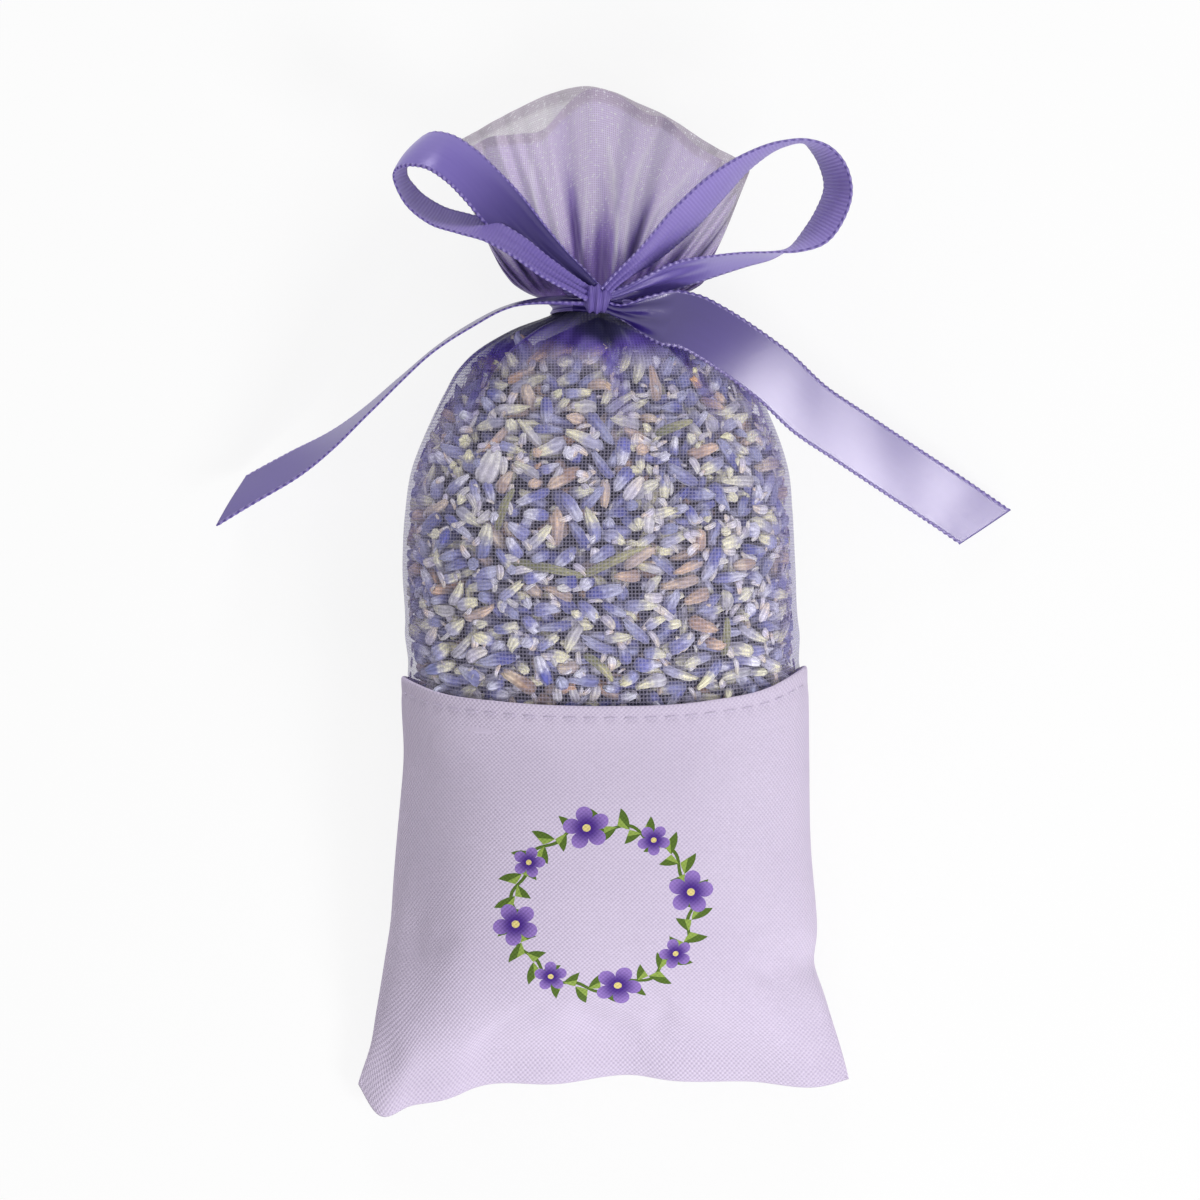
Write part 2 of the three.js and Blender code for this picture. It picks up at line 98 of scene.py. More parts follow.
class SatinLitCopy(Enum):
    """Lit and shaded copies of the one satin, one per strip, that paint in the light or shade falling on
    it. One gleams more as a painted highlight, one is lighter as painted light, and one has a lighter body
    and painted shade near the knot; the soft one is the plain satin.
    """

    SOFT = "soft"
    BRIGHT = "bright"
    DEEP = "deep"
    PALE = "pale"


class SatinFace(Enum):
    """Which face of a ribbon is the smooth one: the one its lift points to, or the other."""

    LIFTED = 0
    UNDER = 1


def srgb(red: int, green: int, blue: int) -> Colour:
    """Turns an 8-bit display colour into a linear one.

    Args:
        red: Red, 0 to 255.
        green: Green, 0 to 255.
        blue: Blue, 0 to 255.

    Returns:
        The linear colour with an alpha of 1.
    """
    shares = [channel / 255 for channel in (red, green, blue)]
    linear = [s / 12.92 if s <= 0.04045 else ((s + 0.055) / 1.055) ** 2.4 for s in shares]
    return (linear[0], linear[1], linear[2], 1.0)


def smoothstep(low: float, high: float, value: Array) -> Array:
    """Eases from 0 at low to 1 at high.

    Args:
        low: Value where the step starts.
        high: Value where the step ends.
        value: Values to ease.

    Returns:
        The eased shares.
    """
    share = np.clip((value - low) / (high - low), 0.0, 1.0)
    return share * share * (3.0 - 2.0 * share)


def unit(vectors: Array) -> Array:
    """Scales vectors to a length of 1."""
    return vectors / np.maximum(np.linalg.norm(vectors, axis=-1, keepdims=True), 1e-9)


def hump(value: Array, middle: float, reach: float) -> Array:
    """A soft hump of height 1 at middle, that is down to a third at reach from it."""
    return np.exp(-(((value - middle) / reach) ** 2))


def path_marks(route: Array) -> Array:
    """Gives the length of a route up to each of its points."""
    return np.concatenate([[0.0], np.cumsum(np.linalg.norm(np.diff(route, axis=0), axis=1))])


def front_and_share(around: Array) -> tuple[Array, Array]:
    """Tells the front from the back.

    Args:
        around: Once round the bag from -1 to 1. The front's middle is 0 and the side seams are at 0.5.

    Returns:
        Whether each place is on the front, and its place from the left seam at -1 to the right one at 1.
    """
    front = np.abs(around) <= 0.5
    return front, np.where(front, 2 * around, np.sign(around) * 2 * (1 - np.abs(around)))


@dataclass(frozen=True)
class Profile:
    """A smooth curve through (position, value) pairs, held flat beyond its ends."""

    pairs: tuple[Pair, ...]

    def __call__(self, position: Array) -> Array:
        """Reads the curve.

        Args:
            position: Positions along the curve.

        Returns:
            The values there.
        """
        places, values = np.array(self.pairs).T
        slopes = np.gradient(values, places)
        at = np.clip(position, places[0], places[-1])
        left = np.clip(np.searchsorted(places, at, side="right") - 1, 0, len(places) - 2)
        gap = places[left + 1] - places[left]
        t = (at - places[left]) / gap
        start = (1 + 2 * t) * (1 - t) ** 2 * values[left] + t * (1 - t) ** 2 * gap * slopes[left]
        end = t * t * (3 - 2 * t) * values[left + 1] - t * t * (1 - t) * gap * slopes[left + 1]
        return start + end


class ShaderBench:
    """One new material, with short calls that add and join its shader nodes."""

    def __init__(self, name: str) -> None:
        """Starts a material with its Principled shader.

        Args:
            name: The material's name.
        """
        self.material = bpy.data.materials.new(name)
        self.material.use_nodes = True
        self.tree = self.material.node_tree
        self.shader = self.tree.nodes["Principled BSDF"]

    def add(self, kind: str, **settings: object) -> Node:
        """Adds a node.

        Args:
            kind: The node's type.
            settings: Properties of the node.

        Returns:
            The new node.
        """
        node = self.tree.nodes.new(kind)
        for name, value in settings.items():
            setattr(node, name, value)
        return node

    def join(self, socket: NodeSocket, value: Signal) -> None:
        """Links a socket to another one, or sets its value.

        Args:
            socket: The socket.
            value: The other socket, or the value.
        """
        if isinstance(value, NodeSocket):
            self.tree.links.new(value, socket)
        else:
            socket.default_value = value

    def set(self, **values: Signal) -> None:
        """Sets or links sockets of the shader, named with _ for each space."""
        for name, value in values.items():
            self.join(self.shader.inputs[name.replace("_", " ")], value)

    def math(self, operation: str, *values: Signal) -> NodeSocket:
        """Adds a Math node.

        Args:
            operation: The node's operation.
            values: Its inputs, in order.

        Returns:
            Its output.
        """
        node = self.add("ShaderNodeMath", operation=operation)
        for socket, value in zip(node.inputs, values):
            self.join(socket, value)
        return node.outputs[0]

    def times(self, first: Signal, second: Signal) -> NodeSocket:
        """Multiplies two signals."""
        return self.math("MULTIPLY", first, second)

    def scaled(self, value: Signal, factor: Signal, base: Signal) -> NodeSocket:
        """Multiplies a signal by a factor and adds a base."""
        return self.math("MULTIPLY_ADD", value, factor, base)

    def ease(self, value: Signal, low: Signal, high: Signal) -> NodeSocket:
        """Eases a signal from 0 at low to 1 at high.

        Args:
            value: The signal.
            low: Where the step starts.
            high: Where the step ends.

        Returns:
            The eased signal.
        """
        node = self.add("ShaderNodeMapRange", interpolation_type="SMOOTHSTEP")
        self.join(node.inputs["Value"], value)
        self.join(node.inputs["From Min"], low)
        self.join(node.inputs["From Max"], high)
        return node.outputs[0]

    def mix(self, share: Signal, first: Signal, second: Signal, blend: str = "MIX") -> NodeSocket:
        """Mixes two colours.

        Args:
            share: Share of the second colour.
            first: The first colour.
            second: The second colour.
            blend: The node's blend type.

        Returns:
            The mixed colour.
        """
        node = self.add("ShaderNodeMix", data_type="RGBA", blend_type=blend)
        factor = node.inputs[0]
        colours = [socket for socket in node.inputs if socket.type == "RGBA"]
        self.join(factor, share)
        self.join(colours[0], first)
        self.join(colours[1], second)
        return next(socket for socket in node.outputs if socket.type == "RGBA")

    def cloth_map(self) -> tuple[NodeSocket, NodeSocket, NodeSocket]:
        """Reads the piece's own map, in metres.

        Returns:
            The map's vector, then its place across and along the cloth.
        """
        vector = self.add("ShaderNodeUVMap", uv_map=CLOTH_MAP).outputs[0]
        split = self.add("ShaderNodeSeparateXYZ")
        self.join(split.inputs[0], vector)
        return vector, split.outputs[0], split.outputs[1]

    def own_place(self) -> NodeSocket:
        """Gives the place in the object's own coordinates."""
        return self.add("ShaderNodeTexCoord").outputs["Object"]

    def stretched(self, vector: Signal, scale: Triple) -> NodeSocket:
        """Scales a vector along each axis.

        Args:
            vector: The vector.
            scale: One factor for each axis.

        Returns:
            The scaled vector.
        """
        node = self.add("ShaderNodeMapping")
        self.join(node.inputs["Vector"], vector)
        node.inputs["Scale"].default_value = scale
        return node.outputs[0]

    def noise(self, vector: Signal, scale: float, detail: float = 2.0) -> NodeSocket:
        """Adds a noise texture.

        Args:
            vector: Where it is read.
            scale: Its scale.
            detail: Its detail.

        Returns:
            Its grey value.
        """
        node = self.add("ShaderNodeTexNoise")
        self.join(node.inputs["Vector"], vector)
        node.inputs["Scale"].default_value = scale
        node.inputs["Detail"].default_value = detail
        return node.outputs[0]

    def wave(self, place: Signal, pitch: float) -> NodeSocket:
        """A cosine wave between -1 and 1.

        Args:
            place: Place along the wave.
            pitch: Length of one wave.

        Returns:
            The wave.
        """
        return self.math("COSINE", self.times(place, math.tau / pitch))

    def ripple(self, place: Signal, pitch: float) -> NodeSocket:
        """A cosine wave between 0 and 1, at a pitch."""
        return self.scaled(self.wave(place, pitch), 0.5, 0.5)

    def inverse(self, share: Signal) -> NodeSocket:
        """Gives what is left of 1."""
        return self.math("SUBTRACT", 1.0, share)

    def attribute(self, name: str, output: str = "Fac") -> NodeSocket:
        """Reads an attribute of the mesh, as a number or as the output that is named."""
        return self.add("ShaderNodeAttribute", attribute_name=name).outputs[output]

    def bump(self, height: Signal, distance: float, strength: float = 1.0) -> None:
        """Feeds a bump to the shader's normal.

        Args:
            height: The bump's height, 0 to 1.
            distance: Its height in metres.
            strength: Its strength.
        """
        node = self.add("ShaderNodeBump")
        node.inputs["Strength"].default_value = strength
        node.inputs["Distance"].default_value = distance
        self.join(node.inputs["Height"], height)
        self.set(Normal=node.outputs[0])


@dataclass(frozen=True)
class WreathPrint:
    """A printed ring of leaves and small five-petalled flowers, laid out on the cotton's own map."""

    middle_across: float = 0.0
    middle_along: float = 35.0 * MM
    ring: float = 15.5 * MM
    stem: float = 0.32 * MM
    stem_wander: float = 0.7 * MM
    stem_waves: float = 11.0
    leaves: int = 22
    leaf_length: float = 6.4 * MM
    leaf_half_width: float = 1.35 * MM
    leaf_lean: float = 0.95
    flowers: int = 8
    flower_radius: float = 4.1 * MM
    bud_radius: float = 2.9 * MM
    flower_shift: float = 0.25
    petals: int = 5
    petal_dip: float = 0.46
    petal_roundness: float = 0.6
    petal_fade: Pair = (0.2, 0.95)
    eye_share: float = 0.17
    leaf_light: Colour = srgb(152, 178, 84)
    leaf_dark: Colour = srgb(92, 118, 48)
    petal_heart: Colour = srgb(78, 46, 140)
    petal_tip: Colour = srgb(158, 128, 204)
    flower_eye: Colour = srgb(236, 218, 140)

    def _sector(self, bench: ShaderBench, polar: tuple[Signal, Signal], count: int, shift: float) -> tuple:
        """Folds the ring into equal sectors.

        Args:
            bench: The material's bench.
            polar: Radius and turn about the ring's middle.
            count: Number of sectors.
            shift: Turn of the first sector, as a share of a sector.

        Returns:
            Place outwards from the ring, place along it, and the sector's number.
        """
        radius, turn = polar
        sectors = bench.scaled(turn, count / math.tau, count + shift)
        local = bench.math("SUBTRACT", bench.math("FRACT", sectors), 0.5)
        angle = bench.times(local, math.tau / count)
        out = bench.math("SUBTRACT", bench.times(radius, bench.math("COSINE", angle)), self.ring)
        along = bench.times(radius, bench.math("SINE", angle))
        return out, along, bench.math("FLOOR", sectors)

    def _leaf(self, bench: ShaderBench, out: Signal, along: Signal) -> tuple:
        """One leaf that leans along the ring.

        Args:
            bench: The material's bench.
            out: Place outwards from the ring.
            along: Place along the ring.

        Returns:
            The leaf's mask, and the mask of its lighter half.
        """
        cosine, sine = math.cos(self.leaf_lean), math.sin(self.leaf_lean)
        reach = bench.scaled(out, cosine, bench.times(along, sine))
        side = bench.scaled(along, cosine, bench.times(out, -sine))
        share = bench.math("DIVIDE", reach, self.leaf_length)
        belly = bench.times(bench.inverse(share), bench.times(share, 4.0))
        half = bench.times(belly, self.leaf_half_width)
        mask = bench.math("LESS_THAN", bench.math("ABSOLUTE", side), half)
        return mask, bench.math("GREATER_THAN", side, 0.0)

    def ink(self, bench: ShaderBench, ground: Signal, across: Signal, along: Signal) -> NodeSocket:
        """Prints the wreath over a ground colour.

        Args:
            bench: The material's bench.
            ground: The cloth's colour.
            across: Place across the cloth.
            along: Place along the cloth.

        Returns:
            The printed colour.
        """
        x = bench.math("SUBTRACT", across, self.middle_across)
        y = bench.math("SUBTRACT", along, self.middle_along)
        radius = bench.math("SQRT", bench.scaled(x, x, bench.times(y, y)))
        turn = bench.math("ARCTAN2", y, x)
        waves = bench.math("SINE", bench.times(turn, self.stem_waves))
        wander = bench.times(waves, self.stem_wander)
        off_stem = bench.math("SUBTRACT", bench.math("SUBTRACT", radius, self.ring), wander)
        on_stem = bench.math("LESS_THAN", bench.math("ABSOLUTE", off_stem), self.stem)
        colour = bench.mix(on_stem, ground, self.leaf_dark)
        for shift, inward in ((0.0, 1.0), (0.5, -1.0)):
            out, side, _ = self._sector(bench, (radius, turn), self.leaves, shift)
            mask, light = self._leaf(bench, bench.times(out, inward), side)
            colour = bench.mix(mask, colour, bench.mix(light, self.leaf_dark, self.leaf_light))
        out, side, number = self._sector(bench, (radius, turn), self.flowers, self.flower_shift)
        odd = bench.math("MODULO", number, 2.0)
        size = bench.scaled(odd, self.bud_radius - self.flower_radius, self.flower_radius)
        reach = bench.math("SQRT", bench.scaled(out, out, bench.times(side, side)))
        share = bench.math("DIVIDE", reach, size)
        petal_turn = bench.times(bench.math("ARCTAN2", side, out), self.petals / 2)
        lobe = bench.math("ABSOLUTE", bench.math("COSINE", petal_turn))
        petal = bench.math("POWER", lobe, self.petal_roundness)
        edge = bench.scaled(petal, 1.0 - self.petal_dip, self.petal_dip)
        on_petal = bench.math("LESS_THAN", share, edge)
        petal_colour = bench.mix(bench.ease(share, *self.petal_fade), self.petal_heart, self.petal_tip)
        colour = bench.mix(on_petal, colour, petal_colour)
        return bench.mix(bench.math("LESS_THAN", share, self.eye_share), colour, self.flower_eye)


@dataclass(frozen=True)
class CottonFinish:
    """Woven lilac cotton, with the wreath printed on its front and the weave's low spots darkened as
    painted shade, mixed with random tone patches.
    """

    ground: Colour = srgb(221, 209, 232)
    hollow: Colour = srgb(186, 174, 202)
    thread_pitch: float = 0.82 * MM
    relief: float = 0.16 * MM
    slub_scale: Triple = (160.0, 900.0, 1.0)
    slub_relief: float = 0.45
    patch_scale: float = 55.0
    patch_shade: float = 0.35
    knot_shade: float = 0.75
    pit_range: Pair = (0.1, 0.75)
    pit_share: float = 0.4
    wreath: WreathPrint = WreathPrint()

    def material(self) -> Material:
        """Builds the material.

        Returns:
            The cotton.
        """
        bench = ShaderBench("lilac_cotton_weave")
        vector, across, along = bench.cloth_map()
        warp = bench.wave(across, self.thread_pitch)
        weft = bench.wave(along, self.thread_pitch)
        knots = bench.scaled(bench.times(warp, weft), 0.5, 0.5)
        slub = bench.noise(bench.stretched(vector, self.slub_scale), 1.0)
        height = bench.scaled(slub, self.slub_relief, knots)
        patches = bench.noise(vector, self.patch_scale)
        shade = bench.times(knots, self.knot_shade)
        shade = bench.scaled(patches, self.patch_shade, shade)
        printed = self.wreath.ink(bench, self.ground, across, along)
        # Painted shade in the weave's low spots, mixed with random tone patches.
        pit_shade = bench.times(bench.inverse(bench.ease(shade, *self.pit_range)), self.pit_share)
        colour = bench.mix(pit_shade, printed, bench.mix(1.0, printed, self.hollow, "MULTIPLY"))
        bench.set(Base_Color=colour, Roughness=0.88, Specular_IOR_Level=0.2)
        bench.set(Sheen_Weight=0.12, Sheen_Roughness=0.4)
        bench.bump(height, self.relief, 0.7)
        return bench.material


@dataclass(frozen=True)
class ThreadFinish:
    """Twisted sewing thread, darker between the plies as painted shade."""

    colour: Colour = srgb(220, 209, 232)
    dark: Colour = srgb(204, 192, 218)
    twist_pitch: float = 0.35 * MM
    relief: float = 0.06 * MM

    def material(self) -> Material:
        """Builds the material.

        Returns:
            The thread.
        """
        bench = ShaderBench("lilac_sewing_thread")
        split = bench.add("ShaderNodeSeparateXYZ")
        bench.join(split.inputs[0], bench.own_place())
        x, y, z = split.outputs
        slant = bench.math("ADD", bench.math("ADD", x, y), z)
        ply = bench.ripple(slant, self.twist_pitch)
        # The colour is lower between the plies, as painted shade.
        bench.set(Base_Color=bench.mix(ply, self.dark, self.colour), Roughness=0.6, Sheen_Weight=0.2)
        bench.bump(ply, self.relief)
        return bench.material


@dataclass(frozen=True)
class OrganzaFinish:
    """Sheer organza: fine shiny threads with open gaps, denser where its veil says, with painted shade
    where its depth attribute says and painted glints and highlights in its colour.
    """

    name: str
    thread: Colour = srgb(223, 215, 246)
    warm: Colour = srgb(186, 176, 186)
    # This colour and the next are painted shade, reached as the depth attribute rises.
    deep: Colour = srgb(102, 78, 182)
    hollow: Colour = srgb(40, 38, 84)
    glint: Colour = srgb(250, 248, 255)
    thread_pitch: float = 0.62 * MM
    twill_pitch: float = 0.6 * MM
    thread_edge: Pair = (0.1, 0.9)
    open_gap: float = 0.03
    thread_cover: float = 0.23
    most_cover: float = 0.97
    deep_from: float = 0.6
    sparkle_scale: float = 1900.0
    sparkle_range: Pair = (0.63, 0.73)
    streak_scale: Triple = (900.0, 60.0, 1.0)
    glitter: float = 0.12
    relief: float = 0.05 * MM

    def material(self) -> Material:
        """Builds the material.

        Returns:
            The organza.
        """
        bench = ShaderBench(self.name)
        vector, across, along = bench.cloth_map()
        warp = bench.ease(bench.wave(across, self.thread_pitch), *self.thread_edge)
        weft = bench.ease(bench.wave(along, self.thread_pitch), *self.thread_edge)
        threads = bench.math("MAXIMUM", warp, weft)
        depth = bench.attribute("depth")
        cover = bench.scaled(threads, self.thread_cover, self.open_gap)
        alpha = bench.math("MINIMUM", bench.math("ADD", cover, bench.attribute("veil")), self.most_cover)
        # Painted highlights: sparkles, streaks and the crease highlights lighten the base colour towards
        # the glint colour along twill lines, less where painted shade lies.
        twill = bench.ripple(bench.math("ADD", across, along), self.twill_pitch)
        plain = bench.scaled(depth, -0.9, 1.0)
        plain = bench.times(plain, bench.scaled(twill, 0.6, 0.4))
        painted_sparkle = bench.ease(bench.noise(vector, self.sparkle_scale, 0.0), *self.sparkle_range)
        painted_sparkle = bench.times(bench.times(painted_sparkle, plain), 0.95)
        streaks = bench.noise(bench.stretched(vector, self.streak_scale), 1.0)
        painted_shine = bench.math("MAXIMUM", bench.times(streaks, 0.25), painted_sparkle)
        lit = bench.scaled(streaks, 0.8, 0.3)
        crest = bench.times(bench.attribute("crest"), lit)
        painted_shine = bench.times(bench.math("MAXIMUM", painted_shine, crest), self.glitter)
        colour = bench.mix(bench.attribute("warmth"), self.thread, self.warm)
        # Painted shade: the depth attribute darkens the colour step by step.
        colour = bench.mix(bench.ease(depth, 0.0, self.deep_from), colour, self.deep)
        colour = bench.mix(bench.ease(depth, self.deep_from, 1.0), colour, self.hollow)
        bench.set(Base_Color=bench.mix(painted_shine, colour, self.glint), Roughness=0.42, Alpha=alpha)
        bench.set(Sheen_Weight=0.08, Sheen_Roughness=0.35, Sheen_Tint=self.glint, Specular_IOR_Level=0.35)
        bench.bump(threads, self.relief, 0.5)
        return bench.material


@dataclass(frozen=True)
class RibbonFinish:
    """One face of the violet ribbon: smooth satin, or the ribbed reverse. Both have beaded edges, painted
    shade in the gaps between beads, and a colour that darkens towards the knot as painted shade.
    """

    name: str
    ribbed: bool
    colour: Colour
    fold: Colour
    root: Colour
    roughness: float
    ior: float
    gleam: Colour
    bead: Colour = srgb(152, 137, 204)
    bead_gap: Colour = srgb(92, 75, 156)
    bead_roughness: float = 0.45
    half_width: float = 5.0 * MM
    bead_pitch: float = 1.15 * MM
    bead_band: float = 0.55 * MM
    rib_pitch: float = 0.62 * MM
    float_pitch: float = 0.24 * MM
    float_relief: float = 0.12
    bead_relief: float = 2.4
    relief: float = 0.07 * MM
    streak_scale: Triple = (1500.0, 90.0, 1.0)
    streak_share: float = 0.5
    root_share: float = 0.85
    rib_share: float = 0.5

    def material(self) -> Material:
        """Builds the material.

        Returns:
            The ribbon's face.
        """
        bench = ShaderBench(self.name)
        vector, across, along = bench.cloth_map()
        from_edge = bench.math("SUBTRACT", self.half_width, bench.math("ABSOLUTE", across))
        band = bench.inverse(bench.ease(from_edge, self.bead_band * 0.7, self.bead_band))
        bead = bench.ripple(along, self.bead_pitch)
        streaks = bench.noise(bench.stretched(vector, self.streak_scale), 1.0)
        body = bench.mix(bench.times(streaks, self.streak_share), self.colour, self.fold)
        # Painted shade: the colour darkens towards the knot.
        gather = bench.times(bench.attribute("gather"), self.root_share)
        body = bench.mix(gather, body, self.root)
        rib = bench.ripple(along, self.rib_pitch if self.ribbed else self.float_pitch)
        if self.ribbed:
            body = bench.mix(bench.times(rib, self.rib_share), body, self.fold)
        # The gaps between the beads are painted shade.
        edge = bench.mix(bead, self.bead_gap, self.bead)
        rougher = self.bead_roughness - self.roughness
        bench.set(Base_Color=bench.mix(band, body, edge))
        bench.set(Roughness=bench.scaled(band, rougher, self.roughness))
        bench.set(Sheen_Weight=0.1 if self.ribbed else 0.0, Sheen_Roughness=0.3, Sheen_Tint=self.bead)
        bench.set(IOR=self.ior, Specular_IOR_Level=0.5, Specular_Tint=self.gleam)
        relief = bench.times(rib, 1.0 if self.ribbed else self.float_relief)
        height = bench.add("ShaderNodeMix", data_type="FLOAT")
        bench.join(height.inputs[0], band)
        bench.join(height.inputs[2], relief)
        bench.join(height.inputs[3], bench.times(bead, self.bead_relief))
        bench.bump(height.outputs[0], self.relief, 0.8)
        return bench.material


@dataclass(frozen=True)
class BudFinish:
    """Dried lavender: each bud has its own tone, fades from base to tip and is ridged along its length,
    with painted shade between the ridges.
    """

    name: str
    base: Colour
    base_other: Colour
    tip: Colour
    tip_other: Colour
    groove: Colour = srgb(170, 168, 186)
    ridges: int = 7
    ridge_relief: float = 0.16 * MM
    fuzz_scale: float = 1400.0
    fade: Pair = (0.35, 0.75)
    foot: float = 0.25

    def material(self) -> Material:
        """Builds the material.

        Returns:
            The buds.
        """
        bench = ShaderBench(self.name)
        paint = bench.add("ShaderNodeSeparateColor")
        bench.join(paint.inputs[0], bench.attribute("bud_paint", "Color"))
        tone, along, light = paint.outputs
        _, around, _ = bench.cloth_map()
        fuzz = bench.noise(bench.own_place(), self.fuzz_scale, 3.0)
        base = bench.mix(tone, self.base, self.base_other)
        tip = bench.mix(light, self.tip, self.tip_other)
        fade = bench.scaled(bench.math("SUBTRACT", fuzz, 0.5), 0.5, along)
        colour = bench.mix(bench.ease(fade, *self.fade), base, tip)
        ridge = bench.ripple(around, 1.0 / self.ridges)
        # Painted shade between the ridges.
        groove_shade = bench.mix(1.0, colour, self.groove, "MULTIPLY")
        colour = bench.mix(bench.times(bench.inverse(ridge), 0.5), colour, groove_shade)
        mottle = bench.scaled(bench.ease(fuzz, 0.3, 0.7), 0.3, 0.86)
        foot = bench.scaled(bench.ease(along, 0.0, self.foot), 0.3, 0.75)
        brightness = bench.scaled(light, 0.4, 0.9)
        brightness = bench.times(brightness, bench.times(mottle, foot))
        scale = bench.add("ShaderNodeVectorMath", operation="SCALE")
        bench.join(scale.inputs[0], colour)
        bench.join(scale.inputs["Scale"], brightness)
        bench.set(Base_Color=scale.outputs[0], Roughness=0.8, Sheen_Weight=0.3, Sheen_Roughness=0.5)
        bench.bump(bench.scaled(fuzz, 0.5, ridge), self.ridge_relief, 0.8)
        return bench.material


@dataclass(frozen=True)
class ShadedChaffFinish:
    """Crumbs of lavender deep in the bag, in low tones that paint the shade inside the fill."""

    dark: Colour = srgb(44, 44, 66)
    light: Colour = srgb(88, 88, 130)
    grain_scale: float = 420.0
    grain_range: Pair = (0.35, 0.7)
    relief: float = 1.0 * MM

    def material(self) -> Material:
        """Builds the material.

        Returns:
            The chaff.
        """
        bench = ShaderBench("dark_lavender_chaff")
        grain = bench.noise(bench.own_place(), self.grain_scale, 4.0)
        crumbs = bench.ease(grain, *self.grain_range)
        # Both crumb tones are low, as painted shade deep in the fill.
        bench.set(Base_Color=bench.mix(crumbs, self.dark, self.light), Roughness=0.95)
        bench.bump(grain, self.relief)
        return bench.material


def grid_surface(
    columns: int, rows: int, flat: Pair, surface: Surface, closed: bool = True
) -> BMesh:
    """Makes a grid and moves it onto a surface.

    Args:
        columns: Faces across, an even number.
        rows: Faces along.
        flat: Flat width and length, for the cloth's map. The map's zero is midway across the first row.
        surface: Gives points for places across, -1 to 1, and along, 0 to 1.
        closed: Whether it goes once round. Edges that meet are then welded, the faces are turned outwards,
            and the map's places across are measured on the surface instead of shared out evenly.

    Returns:
        The grid on the surface.
    """
    bm = bmesh.new()
    bmesh.ops.create_grid(bm, x_segments=columns, y_segments=rows, size=1.0)
    corners = np.array([vert.co for vert in bm.verts])
    across, along = corners[:, 0], (corners[:, 1] + 1) / 2
    points = surface(across, along)
    from_middle = across * flat[0] / 2
    if closed:
        order = np.lexsort((across, np.round(along * rows)))
        lines = points[order].reshape(rows + 1, columns + 1, 3)
        marks = np.cumsum(np.linalg.norm(np.diff(lines, axis=1), axis=2), axis=1)
        marks = np.pad(marks, ((0, 0), (1, 0)))
        from_middle[order] = (marks - marks[:, columns // 2, None]).ravel()
    layer = bm.loops.layers.uv.new(CLOTH_MAP)
    bm.verts.index_update()
    for face in bm.faces:
        for loop in face.loops:
            place = loop.vert.index
            loop[layer].uv = (from_middle[place], along[place] * flat[1])
    mark = bm.verts.layers.float_vector.new(GRID_MARK)
    for vert, point, x, y in zip(bm.verts, points, across, along):
        vert.co = point
        vert[mark] = (x, y, 0.0)
    if closed:
        bmesh.ops.remove_doubles(bm, verts=bm.verts, dist=0.002 * MM)
        bmesh.ops.dissolve_degenerate(bm, dist=0.001 * MM, edges=bm.edges)
        bmesh.ops.recalc_face_normals(bm, faces=bm.faces)
    return bm


def grid_places(bm: BMesh) -> tuple[Array, Array]:
    """Reads where each vertex lies on its grid.

    Args:
        bm: A grid.

    Returns:
        The places across and along.
    """
    mark = bm.verts.layers.float_vector[GRID_MARK]
    places = np.array([vert[mark] for vert in bm.verts])
    return places[:, 0], places[:, 1]


def make_piece(name: str, bm: BMesh, slot: Slot, *finishes: Material) -> Object:
    """Turns a bmesh into a smooth, dressed piece.

    Args:
        name: The piece's name.
        bm: Its shape, which is freed.
        slot: Its slot in the record. Not used.
        finishes: Its materials.

    Returns:
        The piece.
    """
    mark = bm.verts.layers.float_vector.get(GRID_MARK)
    if mark is not None:
        bm.verts.layers.float_vector.remove(mark)
    mesh = bpy.data.meshes.new(name)
    bm.to_mesh(mesh)
    bm.free()
    for finish in finishes:
        mesh.materials.append(finish)
    mesh.shade_smooth()
    piece = bpy.data.objects.new(name, mesh)
    bpy.context.collection.objects.link(piece)
    return piece


def apply_modifiers(piece: Object) -> None:
    """Bakes a piece's modifiers into its mesh.

    Args:
        piece: The piece.
    """
    depsgraph = bpy.context.evaluated_depsgraph_get()
    finished = bpy.data.meshes.new_from_object(piece.evaluated_get(depsgraph))
    rough = piece.data
    piece.modifiers.clear()
    piece.data = finished
    bpy.data.meshes.remove(rough)
    finished.name = piece.name


def vertex_places(mesh: Mesh) -> Array:
    """Reads a mesh's vertices.

    Args:
        mesh: The mesh.

    Returns:
        One row of x, y and z for each vertex.
    """
    places = np.empty(len(mesh.vertices) * 3, dtype=np.float32)
    mesh.vertices.foreach_get("co", places)
    return places.reshape(-1, 3).astype(float)


def set_attribute(mesh: Mesh, name: str, values: Array) -> None:
    """Writes one number for each vertex of a mesh."""
    attribute = mesh.attributes.new(name, "FLOAT", "POINT")
    attribute.data.foreach_set("value", values.astype(np.float32))


def add_pill(bm: BMesh, start: Array, end: Array, diameter: float) -> None:
    """Adds a rounded stitch between two points.

    Args:
        bm: The bmesh that gets it.
        start: One end.
        end: The other end.
        diameter: The thread's diameter.
    """
    run = Vector(end - start)
    turn = run.to_track_quat("Z", "Y").to_matrix().to_4x4()
    size = Matrix.Diagonal((diameter / 2, diameter / 2, run.length / 2, 1.0))
    place = Matrix.Translation(Vector((start + end) / 2)) @ turn @ size
    bmesh.ops.create_uvsphere(bm, u_segments=8, v_segments=6, radius=1.0, matrix=place)


def stitch_ends(route: Array, first: float, length: float, pitch: float) -> Array:
    """Shares stitches out along a route.

    Args:
        route: Points of the route.
        first: Where the first stitch starts.
        length: Length of a stitch.
        pitch: Distance from one stitch to the next.

    Returns:
        Both ends of each stitch.
    """
    marks = path_marks(route)
    starts = np.arange(first, marks[-1] - length, pitch)
    places = np.stack([starts, starts + length], axis=1)
    return np.stack([np.interp(places, marks, route[:, axis]) for axis in range(3)], axis=-1)


